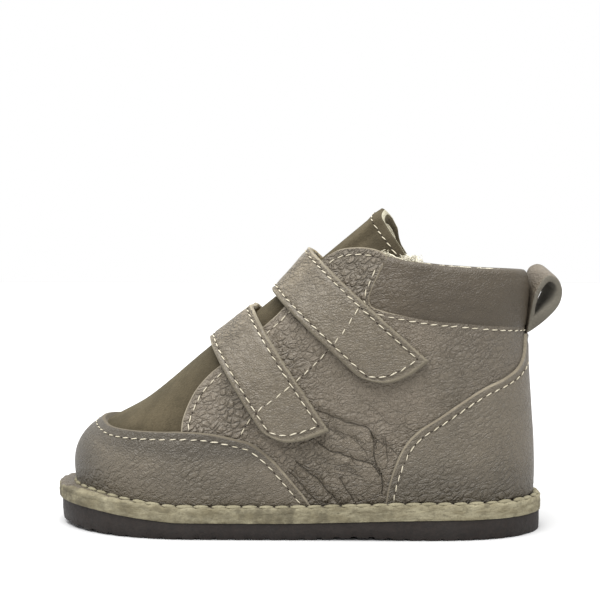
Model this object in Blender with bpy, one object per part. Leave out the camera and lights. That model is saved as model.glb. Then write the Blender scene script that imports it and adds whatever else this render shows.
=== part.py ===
"""Left fur-lined toddler boot: stitch-down leather boot on a flat rubber sole, closed by two straps.

Frame: metres in the scene, millimetres in the tables. -X is the toe, +X the heel, -Y the outer side,
+Z up, and the floor is z = 0.
"""

import math

import bmesh
import bpy
import numpy as np
from mathutils import Matrix, Vector

for old in list(bpy.data.objects):
    bpy.data.objects.remove(old, do_unlink=True)

MM = 0.001
GAP = 0.35

# The stack under the foot, at the ball of the foot.
OUTSOLE_THICK = 5.3
MIDSOLE_THICK = 2.7
FLANGE_THICK = 1.6
SEAT = 0.3
BASE_Z = OUTSOLE_THICK + SEAT + MIDSOLE_THICK + SEAT + FLANGE_THICK
HEEL_WEDGE = 1.2
WEDGE_FROM, WEDGE_TO = -10.0, 45.0
TOE_SPRING = 2.0
SPRING_START = -48.0
SOLE_TIP = -85.2
# The stack on the rubber climbs more than the rubber's underside, so the rubber thickens at the toe.
CLIMB_COLUMNS = ("x", "rise")
TOE_CLIMB = ((-90.0, 3.7), (-78.0, 3.3), (-69.0, 2.7), (-60.0, 1.8), (-51.0, 0.9), (-38.0, 0.0), (80.0, 0.0))
ARCH_RISE = 0.8
ARCH_FROM, ARCH_TO = -4.0, 40.0

# The wall of the upper and what lies on it.
WALL = 2.0
LEATHER = 1.2
DOUBLED = 2.1
FLANGE_SIDE = 4.9
FLANGE_TOE = 8.2
FLANGE_HEEL = 5.0
TOE_FLANGE_FROM, TOE_FLANGE_TO = -40.0, -78.0
HEEL_FLANGE_FROM, HEEL_FLANGE_TO = 45.0, 73.0
RUBBER_IN, RUBBER_IN_TOE = 0.4, 0.6
RUBBER_FOOT, RUBBER_FOOT_HIGH = 1.3, 1.6
BED_THICK, BED_PLAY = 3.0, 0.6

# The last, from heel to toe.  The ridge is the height of the instep line above the floor, and the crown
# is the radius that the instep is rounded to across the foot.
SECTION_COLUMNS = ("x", "outer", "inner", "spine", "ridge", "crown")
SECTIONS = (
    (74.0, 22.6, 22.4, 0.0, 147.0, 17.0),
    (55.0, 22.8, 22.4, 0.0, 131.4, 17.0),
    (30.0, 24.0, 23.0, 0.0, 110.8, 17.5),
    (8.0, 25.2, 24.6, 0.4, 92.6, 18.0),
    (-12.0, 26.8, 27.6, 0.8, 76.1, 20.0),
    (-32.0, 28.0, 29.6, 1.0, 60.3, 25.0),
    (-46.0, 28.6, 29.6, 1.2, 49.0, 36.0),
    (-58.0, 28.4, 29.0, 1.6, 41.9, 58.0),
    (-70.0, 28.0, 28.4, 2.4, 38.6, 66.0),
    (-80.0, 28.0, 28.0, 3.0, 37.6, 60.0),
)
TOE_X = -78.2
TOE_START = -36.0
TOE_ROUND = 2.0
HEEL_START = 36.0
HEEL_ROUND = 2.7
TUCK_HEIGHT = 15.0
TUCK_SHARE = 0.05
TUCK_ENDS = 1.3

# The back of the heel, seen from the side: height above the flange, and how far back.
BACK_COLUMNS = ("up", "x")
BACK = ((0.0, 72.9), (8.0, 73.3), (17.0, 73.1), (29.0, 72.3), (42.0, 71.7), (54.0, 71.3), (75.0, 70.4),
        (100.0, 70.0))

# Lines seen from the outer side, as x and z: the top edge of the upper, and the edges of the panels.
EDGE_COLUMNS = ("x", "z")
COLLAR_TOP = ((0.0, 86.0), (6.0, 88.0), (13.0, 91.0), (20.0, 91.4), (26.0, 89.9), (34.0, 88.2), (47.0, 86.6),
              (60.0, 85.8), (76.0, 85.2))

CAP_EDGE = ((-96.0, 37.0), (-78.0, 36.6), (-71.6, 35.3), (-66.0, 33.7), (-60.5, 32.9), (-46.8, 33.2),
            (-38.2, 33.7), (-28.9, 33.4), (-20.5, 31.8), (-15.4, 30.3), (-9.3, 25.5), (-4.2, 19.8),
            (0.9, 13.5), (4.4, 8.0))
COUNTER_EDGE = ((25.6, 8.0), (26.3, 11.9), (27.5, 18.0), (29.4, 24.0), (32.3, 30.0), (36.6, 34.8), (42.8, 38.9),
                (55.2, 47.3), (63.0, 51.0), (67.4, 54.0), (69.6, 58.0), (70.2, 64.6))
COLLAR_EDGE = ((26.6, 92.5), (25.9, 89.9), (23.8, 86.4), (22.2, 82.9), (20.0, 77.5), (20.6, 73.6), (24.7, 71.5),
               (34.8, 69.5), (41.5, 68.5), (49.3, 67.8), (70.6, 65.8), (96.0, 65.6))
COLLAR_SEAM_ROW = 6
COLLAR_PAD, COLLAR_PAD_FROM, COLLAR_PAD_RUN = 1.2, 30.0, 18.0
COLLAR_LIFT = 0.7
QUARTER_FRONT = ((-38.7, 34.4), (-38.3, 37.6), (-36.6, 42.3), (-34.0, 47.0), (-29.8, 51.6), (-26.1, 54.7),
                 (-12.3, 67.0), (-6.1, 72.9), (5.4, 87.0), (9.1, 90.1), (13.4, 91.9), (19.7, 92.4),
                 (24.5, 91.6), (25.8, 90.6))

# Half the width of the throat and of the tongue, measured round the instep, by height above the flange.
HALF_COLUMNS = ("up", "half")
THROAT = ((0.0, 16.5), (48.0, 16.5), (62.0, 13.0), (80.0, 9.0))
THROAT_FLOOR = 51.0
THROAT_SHARE = 0.45

# The tongue: suede, foam and lining.  It lies just under the skin in the throat and dives below the wall.
TONGUE_THICK = 3.0
TONGUE_FOOT = 44.0
TONGUE_HALF = ((44.0, 21.0), (60.0, 20.0), (71.0, 25.0), (80.0, 37.0), (100.0, 38.0))
TONGUE_TOP_Z = 106.2
TONGUE_SIDE_Z = 90.8
TONGUE_DROOP = 1.2
TONGUE_SEAT = 0.6
TONGUE_DEEP, TONGUE_SHALLOW = WALL + GAP, 0.4
TONGUE_SHOWS, TONGUE_SHOW_RUN = 4.0, 6.0
TONGUE_DIVES, TONGUE_DIVE_RUN = 0.45, 0.4
TONGUE_ROWS, TONGUE_CELLS = 10, 14

# The straps: a point on the rear edge and the slope of the band, as seen from the outer side.  Stand is how
# far the rear edge stands off the instep.
STRAP_COLUMNS = ("name", "x", "z", "along_x", "along_z", "width", "reach_rear", "reach_front", "bulge", "tail",
                 "stand")
STRAPS = (
    ("strap_lower", -9.2, 61.5, 0.555, -0.832, 18.2, 32.0, 25.0, 1.3, 15.0, 0.2),
    ("strap_upper", 9.0, 85.0, 0.742, -0.670, 18.6, 41.5, 33.5, 2.0, 15.0, 3.1),
)
STRAP_THICK = 2.0
STRAP_CORNER, STRAP_CORNER_FROM = 5.0, 0.6
STRAP_OVER_QUARTER = LEATHER + 0.3
STRAP_FLAT, STRAP_CLIMB = 2.5, 6.0
STRAP_STAND_RUN = 16.0
STRAP_LINES, STRAP_SAMPLES, STRAP_OUTER_CELLS, STRAP_INNER_CELLS = 6, 160, 12, 8

# The pull loop, seen from the side as x and z: outside and inside of the folded band.
LOOP_OUTSIDE = ((73.8, 65.8), (75.6, 67.9), (78.4, 70.0), (81.6, 73.0), (83.9, 78.2), (83.2, 82.2), (80.6, 85.0),
                (77.2, 85.8), (74.9, 84.0), (74.1, 79.0), (73.8, 71.0))
LOOP_INSIDE = ((75.5, 70.2), (77.4, 71.6), (79.9, 74.2), (81.7, 78.2), (81.0, 81.2), (78.9, 83.1), (76.9, 82.2),
               (76.1, 78.0), (75.7, 73.4))
LOOP_WIDTH = 14.0
LOOP_LEAN = 0.12
LOOP_CELLS = 24

# Tread.
GROOVE_PITCH = 5.6
GROOVE_WIDTH = 1.9
GROOVE_DEPTH = 1.3
GROOVE_SWING = 1.6
GROOVE_FOLD = 19.0
GROOVE_FIRST, GROOVE_LAST = -78.4, 73.0

ROWS_UP = (3.5, 8.5, 14.0, 19.5, 23.5, 26.5, 30.0, 34.5, 40.0, 45.5, 51.0, 58.0, 65.0, 71.5)
SIDE_CELLS = 21
THROAT_CELLS = 4
END_CROWDING = 0.07
HALVINGS = 48
RING_SAMPLES = 220


def column(table, columns, name):
    place = columns.index(name)
    return np.array([row[place] for row in table], float)


def through(xs, ys):
    """A smooth line through a table's points that doesn't overshoot them."""
    order = np.argsort(xs)
    xs = np.asarray(xs, float)[order]
    ys = np.asarray(ys, float)[order]
    step = np.diff(xs)
    slope = np.diff(ys) / step
    tangent = np.zeros(len(xs))
    tangent[0] = slope[0]
    tangent[-1] = slope[-1]
    for i in range(1, len(xs) - 1):
        if slope[i - 1] * slope[i] > 0:
            weight_a = 2 * step[i] + step[i - 1]
            weight_b = step[i] + 2 * step[i - 1]
            tangent[i] = (weight_a + weight_b) / (weight_a / slope[i - 1] + weight_b / slope[i])

    def value(x):
        x = np.clip(x, xs[0], xs[-1])
        i = np.clip(np.searchsorted(xs, x) - 1, 0, len(step) - 1)
        t = (x - xs[i]) / step[i]
        rise = ys[i] * (1 + 2 * t) * (1 - t) ** 2 + ys[i + 1] * t * t * (3 - 2 * t)
        return rise + step[i] * t * (1 - t) * (tangent[i] * (1 - t) - tangent[i + 1] * t)

    return value


def ease(t):
    t = np.clip(t, 0.0, 1.0)
    return t * t * (3 - 2 * t)


section_x = column(SECTIONS, SECTION_COLUMNS, "x")
outer_of = through(section_x, column(SECTIONS, SECTION_COLUMNS, "outer"))
inner_of = through(section_x, column(SECTIONS, SECTION_COLUMNS, "inner"))
spine_of = through(section_x, column(SECTIONS, SECTION_COLUMNS, "spine"))
ridge_of = through(section_x, column(SECTIONS, SECTION_COLUMNS, "ridge"))
crown_of = through(section_x, column(SECTIONS, SECTION_COLUMNS, "crown"))
back_of = through(column(BACK, BACK_COLUMNS, "up"), column(BACK, BACK_COLUMNS, "x"))
climb_of = through(column(TOE_CLIMB, CLIMB_COLUMNS, "x"), column(TOE_CLIMB, CLIMB_COLUMNS, "rise"))
collar_of = through(column(COLLAR_TOP, EDGE_COLUMNS, "x"), column(COLLAR_TOP, EDGE_COLUMNS, "z"))
throat_of = through(column(THROAT, HALF_COLUMNS, "up"), column(THROAT, HALF_COLUMNS, "half"))
tongue_half_of = through(column(TONGUE_HALF, HALF_COLUMNS, "up"), column(TONGUE_HALF, HALF_COLUMNS, "half"))


def spring_at(x):
    return TOE_SPRING * (np.maximum(0.0, SPRING_START - x) / (SPRING_START - SOLE_TIP)) ** 2


def arch_at(x):
    share = np.clip((x - ARCH_FROM) / (ARCH_TO - ARCH_FROM), 0.0, 1.0)
    return ARCH_RISE * np.sin(math.pi * share) ** 2


def wedge_at(x):
    return HEEL_WEDGE * ease((x - WEDGE_FROM) / (WEDGE_TO - WEDGE_FROM))


def flange_top(x):
    return BASE_Z + climb_of(x) + wedge_at(x)


def toe_at(up):
    return TOE_X + TUCK_ENDS * np.maximum(0.0, 1 - up / TUCK_HEIGHT) ** 2


def room_at(x, up):
    """1 on the spine at the height of the flange, 0 where the last closes at toe, heel or instep."""
    height = ridge_of(x) - flange_top(x)
    power = 2 * crown_of(x) * height / (outer_of(x) * inner_of(x))
    over = (np.maximum(up, 0.0) / height) ** power
    toe = (np.maximum(0.0, TOE_START - x) / (TOE_START - toe_at(up))) ** TOE_ROUND
    heel = (np.maximum(0.0, x - HEEL_START) / (back_of(up) - HEEL_START)) ** HEEL_ROUND
    return 1 - over - toe - heel


def width_at(x, up, side):
    tuck = 1 - TUCK_SHARE * np.maximum(0.0, 1 - np.maximum(up, 0.0) / TUCK_HEIGHT) ** 2
    return np.where(side < 0, outer_of(x), inner_of(x)) * tuck


def skin_y(x, up, side):
    return spine_of(x) + side * width_at(x, up, side) * np.sqrt(np.maximum(0.0, room_at(x, up)))


def level_set(x, y, z):
    up = z - flange_top(x)
    across = y - spine_of(x)
    return (across / width_at(x, up, np.sign(across) + (across == 0))) ** 2 - room_at(x, up)


def normal_at(point):
    x, y, z = point
    h = 0.05
    n = np.array([
        level_set(x + h, y, z) - level_set(x - h, y, z),
        level_set(x, y + h, z) - level_set(x, y - h, z),
        level_set(x, y, z + h) - level_set(x, y, z - h),
    ])
    return n / np.linalg.norm(n)


def front_at(up):
    low, high = float(toe_at(up)), 45.0
    for _ in range(HALVINGS):
        middle = (low + high) / 2
        if room_at(middle, up) > 0:
            high = middle
        else:
            low = middle
    return high


def half_ring(up, side, samples=RING_SAMPLES):
    """The skin at one height, from the ridge of the instep back to the heel, and the length run so far."""
    front, back = front_at(up), float(back_of(up))
    turn = (1 - np.cos(np.linspace(0, math.pi, samples))) / 2
    x = front + (back - front) * turn
    y = skin_y(x, up, side)
    y[0], y[-1] = spine_of(x[0]), spine_of(x[-1])
    points = np.column_stack([x, y, flange_top(x) + up])
    run = np.concatenate([[0.0], np.cumsum(np.linalg.norm(np.diff(points[:, :2], axis=0), axis=1))])
    return points, run


def on_ring(up, side, shares):
    """Points of the skin at one height: share 0 is the ridge, 1 the throat's edge and 2 the back of the heel."""
    points, run = half_ring(up, side)
    edge = min(float(throat_of(up)), THROAT_SHARE * run[-1])
    shares = np.asarray(shares, float)
    along = np.where(shares <= 1, shares * edge, edge + (shares - 1) * (run[-1] - edge))
    return np.column_stack([np.interp(along, run, points[:, k]) for k in range(3)])


def by_length(up, side, lengths):
    points, run = half_ring(up, side)
    return np.column_stack([np.interp(lengths, run, points[:, k]) for k in range(3)])


def side_shares():
    """Columns from ridge to heel, closer together at toe and heel."""
    even = np.linspace(0, 1, SIDE_CELLS + 1)
    warped = even - END_CROWDING * np.sin(2 * math.pi * even)
    return np.concatenate([np.linspace(0, 1, THROAT_CELLS + 1)[:-1], 1 + warped])


SHARES = side_shares()


def whole_ring(up_of):
    """One ring of points: heel, outer side, ridge, inner side.  up_of gives the height, or a height at each x."""
    halves = []
    for side in (-1, 1):
        if callable(up_of):
            guess = on_ring(74.0, side, SHARES)
            half = np.array([
                on_ring(float(up_of(guess[i, 0])), side, [SHARES[i]])[0] for i in range(len(SHARES))
            ])
        else:
            half = on_ring(up_of, side, SHARES)
        halves.append(half)
    outer, inner = halves
    return np.vstack([outer[::-1], inner[1:-1]])


def collar_up(x):
    return collar_of(x) - flange_top(x)


def pushed(points, distance):
    distance = np.broadcast_to(distance, len(points))
    return np.array([p + d * normal_at(p) for p, d in zip(points, distance)])


def outward(ring):
    """Level outward directions of a closed ring."""
    along = np.roll(ring, -1, axis=0) - np.roll(ring, 1, axis=0)
    across = np.column_stack([along[:, 1], -along[:, 0], np.zeros(len(ring))])
    across /= np.linalg.norm(across, axis=1)[:, None]
    if np.sum(across * (ring - ring.mean(axis=0))) < 0:
        across = -across
    return across


def material(name, colour, roughness):
    made = bpy.data.materials.new(name)
    made.use_nodes = True
    shader = made.node_tree.nodes["Principled BSDF"]
    shader.inputs["Base Color"].default_value = (*colour, 1.0)
    shader.inputs["Roughness"].default_value = roughness
    shader.inputs["Metallic"].default_value = 0.0
    return made


LEATHER_TAUPE = material("leather_taupe", (0.19, 0.165, 0.13), 0.55)
SUEDE_OLIVE = material("suede_olive", (0.145, 0.122, 0.075), 0.9)
RUBBER_BROWN = material("rubber_brown", (0.045, 0.036, 0.033), 0.7)
BOARD_PALE = material("board_pale", (0.40, 0.36, 0.26), 0.8)
FLEECE_CREAM = material("fleece_cream", (0.82, 0.78, 0.66), 0.95)


def keep_object(name, bm, look, smooth=True):
    bmesh.ops.recalc_face_normals(bm, faces=bm.faces)
    mesh = bpy.data.meshes.new(name)
    bm.to_mesh(mesh)
    bm.free()
    for polygon in mesh.polygons:
        polygon.use_smooth = smooth
    made = bpy.data.objects.new(name, mesh)
    made.data.materials.append(look)
    bpy.context.scene.collection.objects.link(made)
    return made


def walled(name, outer, inner, look, around=False, keep=None):
    """A sheet with thickness: two grids of points, the cells that are kept, and a rim at every open edge."""
    rows, columns = len(outer), len(outer[0])
    cells = columns if around else columns - 1
    bm = bmesh.new()
    out = [[bm.verts.new(np.asarray(p) * MM) for p in row] for row in outer]
    inn = [[bm.verts.new(np.asarray(p) * MM) for p in row] for row in inner]
    kept = [[keep is None or keep(r, c) for c in range(cells)] for r in range(rows - 1)]

    def there(r, c):
        if around:
            c %= cells
        return 0 <= r < rows - 1 and 0 <= c < cells and kept[r][c]

    for r in range(rows - 1):
        for c in range(cells):
            if not kept[r][c]:
                continue
            d = (c + 1) % columns
            bm.faces.new((out[r][c], out[r][d], out[r + 1][d], out[r + 1][c]))
            bm.faces.new((inn[r + 1][c], inn[r + 1][d], inn[r][d], inn[r][c]))
            if not there(r - 1, c):
                bm.faces.new((out[r][d], out[r][c], inn[r][c], inn[r][d]))
            if not there(r + 1, c):
                bm.faces.new((out[r + 1][c], out[r + 1][d], inn[r + 1][d], inn[r + 1][c]))
            if not there(r, c - 1):
                bm.faces.new((out[r][c], out[r + 1][c], inn[r + 1][c], inn[r][c]))
            if not there(r, c + 1):
                bm.faces.new((out[r + 1][d], out[r][d], inn[r][d], inn[r + 1][d]))
    loose = [v for v in bm.verts if not v.link_faces]
    bmesh.ops.delete(bm, geom=loose, context="VERTS")
    return keep_object(name, bm, look)


def bezel(points, steps):
    """The same line with rounded corners."""
    points = [np.array(p, float) for p in points]
    line = []
    for i in range(len(points) - 1):
        before = points[max(i - 1, 0)]
        after = points[min(i + 2, len(points) - 1)]
        for k in range(steps):
            t = k / steps
            a, b = points[i], points[i + 1]
            line.append(0.5 * (2 * a + (b - before) * t + (2 * before - 5 * a + 4 * b - after) * t * t
                               + (3 * a - before - 3 * b + after) * t ** 3))
    line.append(points[-1])
    return np.array(line)


def shifted(line, distance):
    """A line moved to its left."""
    along = np.gradient(np.asarray(line, float), axis=0)
    along /= np.linalg.norm(along, axis=1)[:, None]
    return np.asarray(line, float) + distance * np.column_stack([-along[:, 1], along[:, 0]])


def prism(name, outline, y_from, y_to):
    """A hidden cutter: an outline seen from the side, run across the boot."""
    bm = bmesh.new()
    face = bm.faces.new([bm.verts.new((x * MM, y_from * MM, z * MM)) for x, z in outline])
    run = bmesh.ops.extrude_face_region(bm, geom=[face])
    moved = [item for item in run["geom"] if isinstance(item, bmesh.types.BMVert)]
    bmesh.ops.translate(bm, verts=moved, vec=(0, (y_to - y_from) * MM, 0))
    cutter = keep_object(name, bm, LEATHER_TAUPE, smooth=False)
    cutter.hide_render = True
    cutter.display_type = "WIRE"
    return cutter


def cut(target, cutter, operation):
    step = target.modifiers.new(operation.lower(), "BOOLEAN")
    step.operation = operation
    step.solver = "EXACT"
    step.object = cutter


# The upper: flange, wall and throat.
base_ring = whole_ring(0.0)
base_out = outward(base_ring)
toe_share = ease((base_ring[:, 0] - TOE_FLANGE_FROM) / (TOE_FLANGE_TO - TOE_FLANGE_FROM))
heel_share = ease((base_ring[:, 0] - HEEL_FLANGE_FROM) / (HEEL_FLANGE_TO - HEEL_FLANGE_FROM))
flange_width = FLANGE_SIDE + (FLANGE_TOE - FLANGE_SIDE) * toe_share + (FLANGE_HEEL - FLANGE_SIDE) * heel_share
sole_ring = base_ring + base_out * flange_width[:, None]
sole_ring[:, 2] = flange_top(sole_ring[:, 0])
down = np.array([0.0, 0.0, -FLANGE_THICK])
top_ring = whole_ring(collar_up)
wall_rings = [whole_ring(up) for up in ROWS_UP] + [top_ring]
outer_rows = [sole_ring, base_ring] + wall_rings
inner_rows = [sole_ring + down, base_ring - base_out * WALL + down] + [pushed(ring, -WALL) for ring in wall_rings]
inner_rows[-1] = inner_rows[-1] * (1, 1, 0) + top_ring * (0, 0, 1)
RIDGE_COLUMN = len(SHARES) - 1


def wall_cell(row, cell):
    in_throat = RIDGE_COLUMN - THROAT_CELLS <= cell < RIDGE_COLUMN + THROAT_CELLS
    lower_up = ROWS_UP[row - 2] if row >= 2 else 0.0
    return not (in_throat and lower_up >= THROAT_FLOOR - 0.01)


walled("upper", outer_rows, inner_rows, SUEDE_OLIVE, around=True, keep=wall_cell)

# Panels: a skin of leather over the upper, cut to each panel's outline.
SKIN_UP = (0.5,) + ROWS_UP


def panel(name, inside, outside, outline, look, y_from=-60.0, y_to=60.0, lift=0.0):
    rings = [whole_ring(up) for up in SKIN_UP] + [whole_ring(lambda x: collar_up(x) + lift)]
    outside_rows = [pushed(ring, outside(ring) if callable(outside) else outside) for ring in rings]
    inside_rows = [pushed(ring, inside) for ring in rings]
    for rows in (outside_rows, inside_rows):
        rows[0][:, 2] = flange_top(rows[0][:, 0]) + SKIN_UP[0]
        rows[-1][:, 2] = rings[-1][:, 2]
    made = walled(name, outside_rows, inside_rows, look, around=True)
    cut(made, prism(name + "_outline", outline, y_from, y_to), "INTERSECT")
    return made


cap_line = bezel(CAP_EDGE, 2)
counter_line = bezel(COUNTER_EDGE, 2)
collar_line = bezel(COLLAR_EDGE, 2)
front_line = bezel(QUARTER_FRONT, 2)

panel("toe_cap", SEAT, SEAT + DOUBLED, np.vstack([[(-96.0, 4.0)], cap_line, [(4.4, 4.0)]]), LEATHER_TAUPE)
counter_outline = np.vstack([[(25.6, 4.0)], counter_line, [(96.0, 64.6), (96.0, 4.0)]])
panel("heel_counter", SEAT, SEAT + DOUBLED, counter_outline, LEATHER_TAUPE)


def collar_pad(ring):
    """The cuff is plump in the middle and thin at its seams."""
    lower_seam = COLLAR_EDGE[COLLAR_SEAM_ROW:]
    low = np.interp(ring[:, 0], column(lower_seam, EDGE_COLUMNS, "x"), column(lower_seam, EDGE_COLUMNS, "z"))
    share = np.clip((ring[:, 2] - low) / np.maximum(collar_of(ring[:, 0]) - low, 1.0), 0.0, 1.0)
    plump = ease((ring[:, 0] - COLLAR_PAD_FROM) / COLLAR_PAD_RUN)
    return SEAT + LEATHER + COLLAR_PAD * np.sin(math.pi * share) * plump


collar_outline = np.vstack([collar_line, [(96.0, 99.0), (26.6, 99.0)]])
panel("collar", SEAT, collar_pad, collar_outline, LEATHER_TAUPE, lift=COLLAR_LIFT)

below_collar = shifted(collar_line, -GAP)
above_counter = shifted(counter_line, GAP)
above_cap = shifted(cap_line, GAP)
quarter_outline = np.vstack([
    front_line,
    below_collar[(below_collar[:, 0] < 70.0) & (below_collar[:, 1] < 90.2)],
    above_counter[::-1][above_counter[::-1, 0] < 69.9],
    [(25.0, 4.0), (4.8, 4.0)],
    above_cap[::-1][above_cap[::-1, 0] > -38.6],
])
panel("quarter_lateral", SEAT, SEAT + LEATHER, quarter_outline, LEATHER_TAUPE, y_to=-0.5)
panel("quarter_medial", SEAT, SEAT + LEATHER, quarter_outline, LEATHER_TAUPE, y_from=0.5)

# Tongue: it fills the throat and slips under the wall at both sides.
tongue_shares = np.linspace(-1, 1, TONGUE_CELLS + 1)
tongue_outer, tongue_inner = [], []
for level in np.linspace(0, 1, TONGUE_ROWS + 1):
    outside_row, inside_row = [], []
    for share in tongue_shares:
        side = -1 if share < 0 else 1
        top_z = TONGUE_TOP_Z + (TONGUE_SIDE_Z - TONGUE_TOP_Z) * abs(share) ** TONGUE_DROOP
        up = TONGUE_FOOT + (top_z - BASE_Z - TONGUE_SEAT - TONGUE_FOOT) * level
        length = abs(share) * float(tongue_half_of(up))
        point = by_length(up, side, [length])[0]
        edge = float(throat_of(up))
        shown = ease((up - THROAT_FLOOR - TONGUE_SHOWS) / TONGUE_SHOW_RUN)
        shown *= 1 - ease((length / edge - TONGUE_DIVES) / TONGUE_DIVE_RUN)
        depth = TONGUE_DEEP + (TONGUE_SHALLOW - TONGUE_DEEP) * shown
        n = normal_at(point)
        outside_row.append(point - depth * n)
        inside_row.append(point - (depth + TONGUE_THICK) * n)
    tongue_outer.append(outside_row)
    tongue_inner.append(inside_row)
walled("tongue", tongue_outer, tongue_inner, SUEDE_OLIVE)


def strap(row):
    """A band between two planes that lean back, laid over instep and quarters."""
    size = dict(zip(STRAP_COLUMNS, row))
    start = np.array([size["x"], size["z"]])
    along = np.array([size["along_x"], size["along_z"]])
    along /= np.linalg.norm(along)
    across = np.array([along[1], -along[0]])
    outer, inner = [], []
    for share in np.linspace(0, 1, STRAP_LINES):
        origin = start + across * size["width"] * share
        rounding = STRAP_CORNER * max(0.0, (share - STRAP_CORNER_FROM) / (1 - STRAP_CORNER_FROM)) ** 3
        reach = size["reach_rear"] + (size["reach_front"] - size["reach_rear"]) * share - rounding
        reach += size["bulge"] * math.sin(math.pi * share)
        low, high = -60.0, 10.0
        for _ in range(HALVINGS):
            middle = (low + high) / 2
            x, z = origin + along * middle
            if room_at(x, z - flange_top(x)) > 0:
                high = middle
            else:
                low = middle
        line = []
        for side, end in ((-1, reach), (1, size["tail"])):
            run = high + (end - high) * np.linspace(0, 1, STRAP_SAMPLES) ** 2
            x = origin[0] + along[0] * run
            z = origin[1] + along[1] * run
            y = skin_y(x, z - flange_top(x), side)
            y[0] = spine_of(x[0])
            half = np.column_stack([x, y, z])
            line.append(half[::-1] if side < 0 else half[1:])
        line = np.vstack(line)
        length = np.concatenate([[0.0], np.cumsum(np.linalg.norm(np.diff(line, axis=0), axis=1))])
        ridge = length[STRAP_SAMPLES - 1]
        places = np.concatenate([
            np.linspace(0, ridge, STRAP_OUTER_CELLS + 1),
            np.linspace(ridge, length[-1], STRAP_INNER_CELLS + 1)[1:],
        ])
        points = np.column_stack([np.interp(places, length, line[:, k]) for k in range(3)])
        away = np.abs(places - ridge)
        lift = GAP + STRAP_OVER_QUARTER * ease((away - STRAP_FLAT) / STRAP_CLIMB)
        lift = lift + size["stand"] * (1 - share) * ease(1 - away / STRAP_STAND_RUN)
        inner.append(pushed(points, lift))
        outer.append(pushed(points, lift + STRAP_THICK))
    walled(size["name"], outer, inner, LEATHER_TAUPE)


for strap_row in STRAPS:
    strap(strap_row)

# Pull loop: a closed band seen from the side, run across and leaning a little.
outside_loop = bezel(LOOP_OUTSIDE + LOOP_OUTSIDE[:1], 2)[:-1]
inside_loop = bezel(LOOP_INSIDE + LOOP_INSIDE[:1], 2)[:-1]


def spread(line, count):
    closed = np.vstack([line, line[:1]])
    length = np.concatenate([[0.0], np.cumsum(np.linalg.norm(np.diff(closed, axis=0), axis=1))])
    places = np.linspace(0, length[-1], count + 1)[:-1]
    return np.column_stack([np.interp(places, length, closed[:, k]) for k in range(2)])


loop_rows = []
for y in (-LOOP_WIDTH / 2, LOOP_WIDTH / 2):
    rows = []
    for line in (outside_loop, inside_loop):
        rows.append([(x, y, z + LOOP_LEAN * y) for x, z in spread(line, LOOP_CELLS)])
    loop_rows.append(rows)
loop_outer, loop_inner = zip(*loop_rows)
walled("pull_loop", loop_outer, loop_inner, LEATHER_TAUPE, around=True)


def slab(name, levels, look):
    """A sheet with the boot's outline: rings from the bottom up, closed across at both ends."""
    bm = bmesh.new()
    rings = [[bm.verts.new(np.asarray(p) * MM) for p in ring] for ring in levels]
    count = len(rings[0])
    for low, high in zip(rings, rings[1:]):
        for c in range(count):
            d = (c + 1) % count
            bm.faces.new((low[c], low[d], high[d], high[c]))
    for ring in (rings[0], rings[-1]):
        for c in range(count // 2):
            far, near = (count - c) % count, count - c - 1
            corners = list(dict.fromkeys((ring[c], ring[c + 1], ring[near], ring[far])))
            if len(corners) > 2:
                bm.faces.new(corners)
    return keep_object(name, bm, look, smooth=False)


def at_height(ring, height):
    placed = np.array(ring, float)
    placed[:, 2] = height
    return placed


sole_out = outward(sole_ring)
sole_x = sole_ring[:, 0]
board_top = flange_top(sole_x) - FLANGE_THICK - SEAT
board_low = board_top - MIDSOLE_THICK
slab("midsole", [at_height(sole_ring, board_low), at_height(sole_ring, board_top)], BOARD_PALE)

rubber_top = board_low - SEAT
floor_z = spring_at(sole_x) + arch_at(sole_x)
rubber_ring = sole_ring - sole_out * (RUBBER_IN + RUBBER_IN_TOE * toe_share)[:, None]
foot_ring = rubber_ring - sole_out * RUBBER_FOOT
outsole = slab("outsole", [
    at_height(foot_ring, spring_at(foot_ring[:, 0]) + arch_at(foot_ring[:, 0])),
    at_height(rubber_ring, floor_z + RUBBER_FOOT_HIGH),
    at_height(rubber_ring, rubber_top),
], RUBBER_BROWN)

bm = bmesh.new()
groove_y = np.arange(-2, 3) * GROOVE_FOLD
for place in np.arange(GROOVE_FIRST, GROOVE_LAST, GROOVE_PITCH):
    lift = float(spring_at(place) + arch_at(place))
    rings = []
    for k, y in enumerate(groove_y):
        x = place + GROOVE_SWING * (-1) ** k
        rings.append([bm.verts.new((px * MM, y * MM, pz * MM)) for px, pz in (
            (x - GROOVE_WIDTH / 2, -4.0), (x + GROOVE_WIDTH / 2, -4.0),
            (x + GROOVE_WIDTH / 2, lift + GROOVE_DEPTH), (x - GROOVE_WIDTH / 2, lift + GROOVE_DEPTH))])
    for low, high in zip(rings, rings[1:]):
        for c in range(4):
            d = (c + 1) % 4
            bm.faces.new((low[c], low[d], high[d], high[c]))
    bm.faces.new(rings[0])
    bm.faces.new(rings[-1])
grooves = keep_object("tread_grooves", bm, RUBBER_BROWN, smooth=False)
grooves.hide_render = True
grooves.display_type = "WIRE"
cut(outsole, grooves, "DIFFERENCE")

bed_ring = base_ring - base_out * (WALL + BED_PLAY)
bed_low = flange_top(bed_ring[:, 0]) - FLANGE_THICK
slab("insole", [at_height(bed_ring, bed_low), at_height(bed_ring, bed_low + BED_THICK)], FLEECE_CREAM)

# The origin goes on the floor, under the middle of the boot's length and width.
corners = [vertex.co for made in bpy.data.objects for vertex in made.data.vertices if not made.hide_render]
middle_x = (min(c.x for c in corners) + max(c.x for c in corners)) / 2
middle_y = (min(c.y for c in corners) + max(c.y for c in corners)) / 2
for made in bpy.data.objects:
    made.data.transform(Matrix.Translation(Vector((-middle_x, -middle_y, 0.0))))
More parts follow.
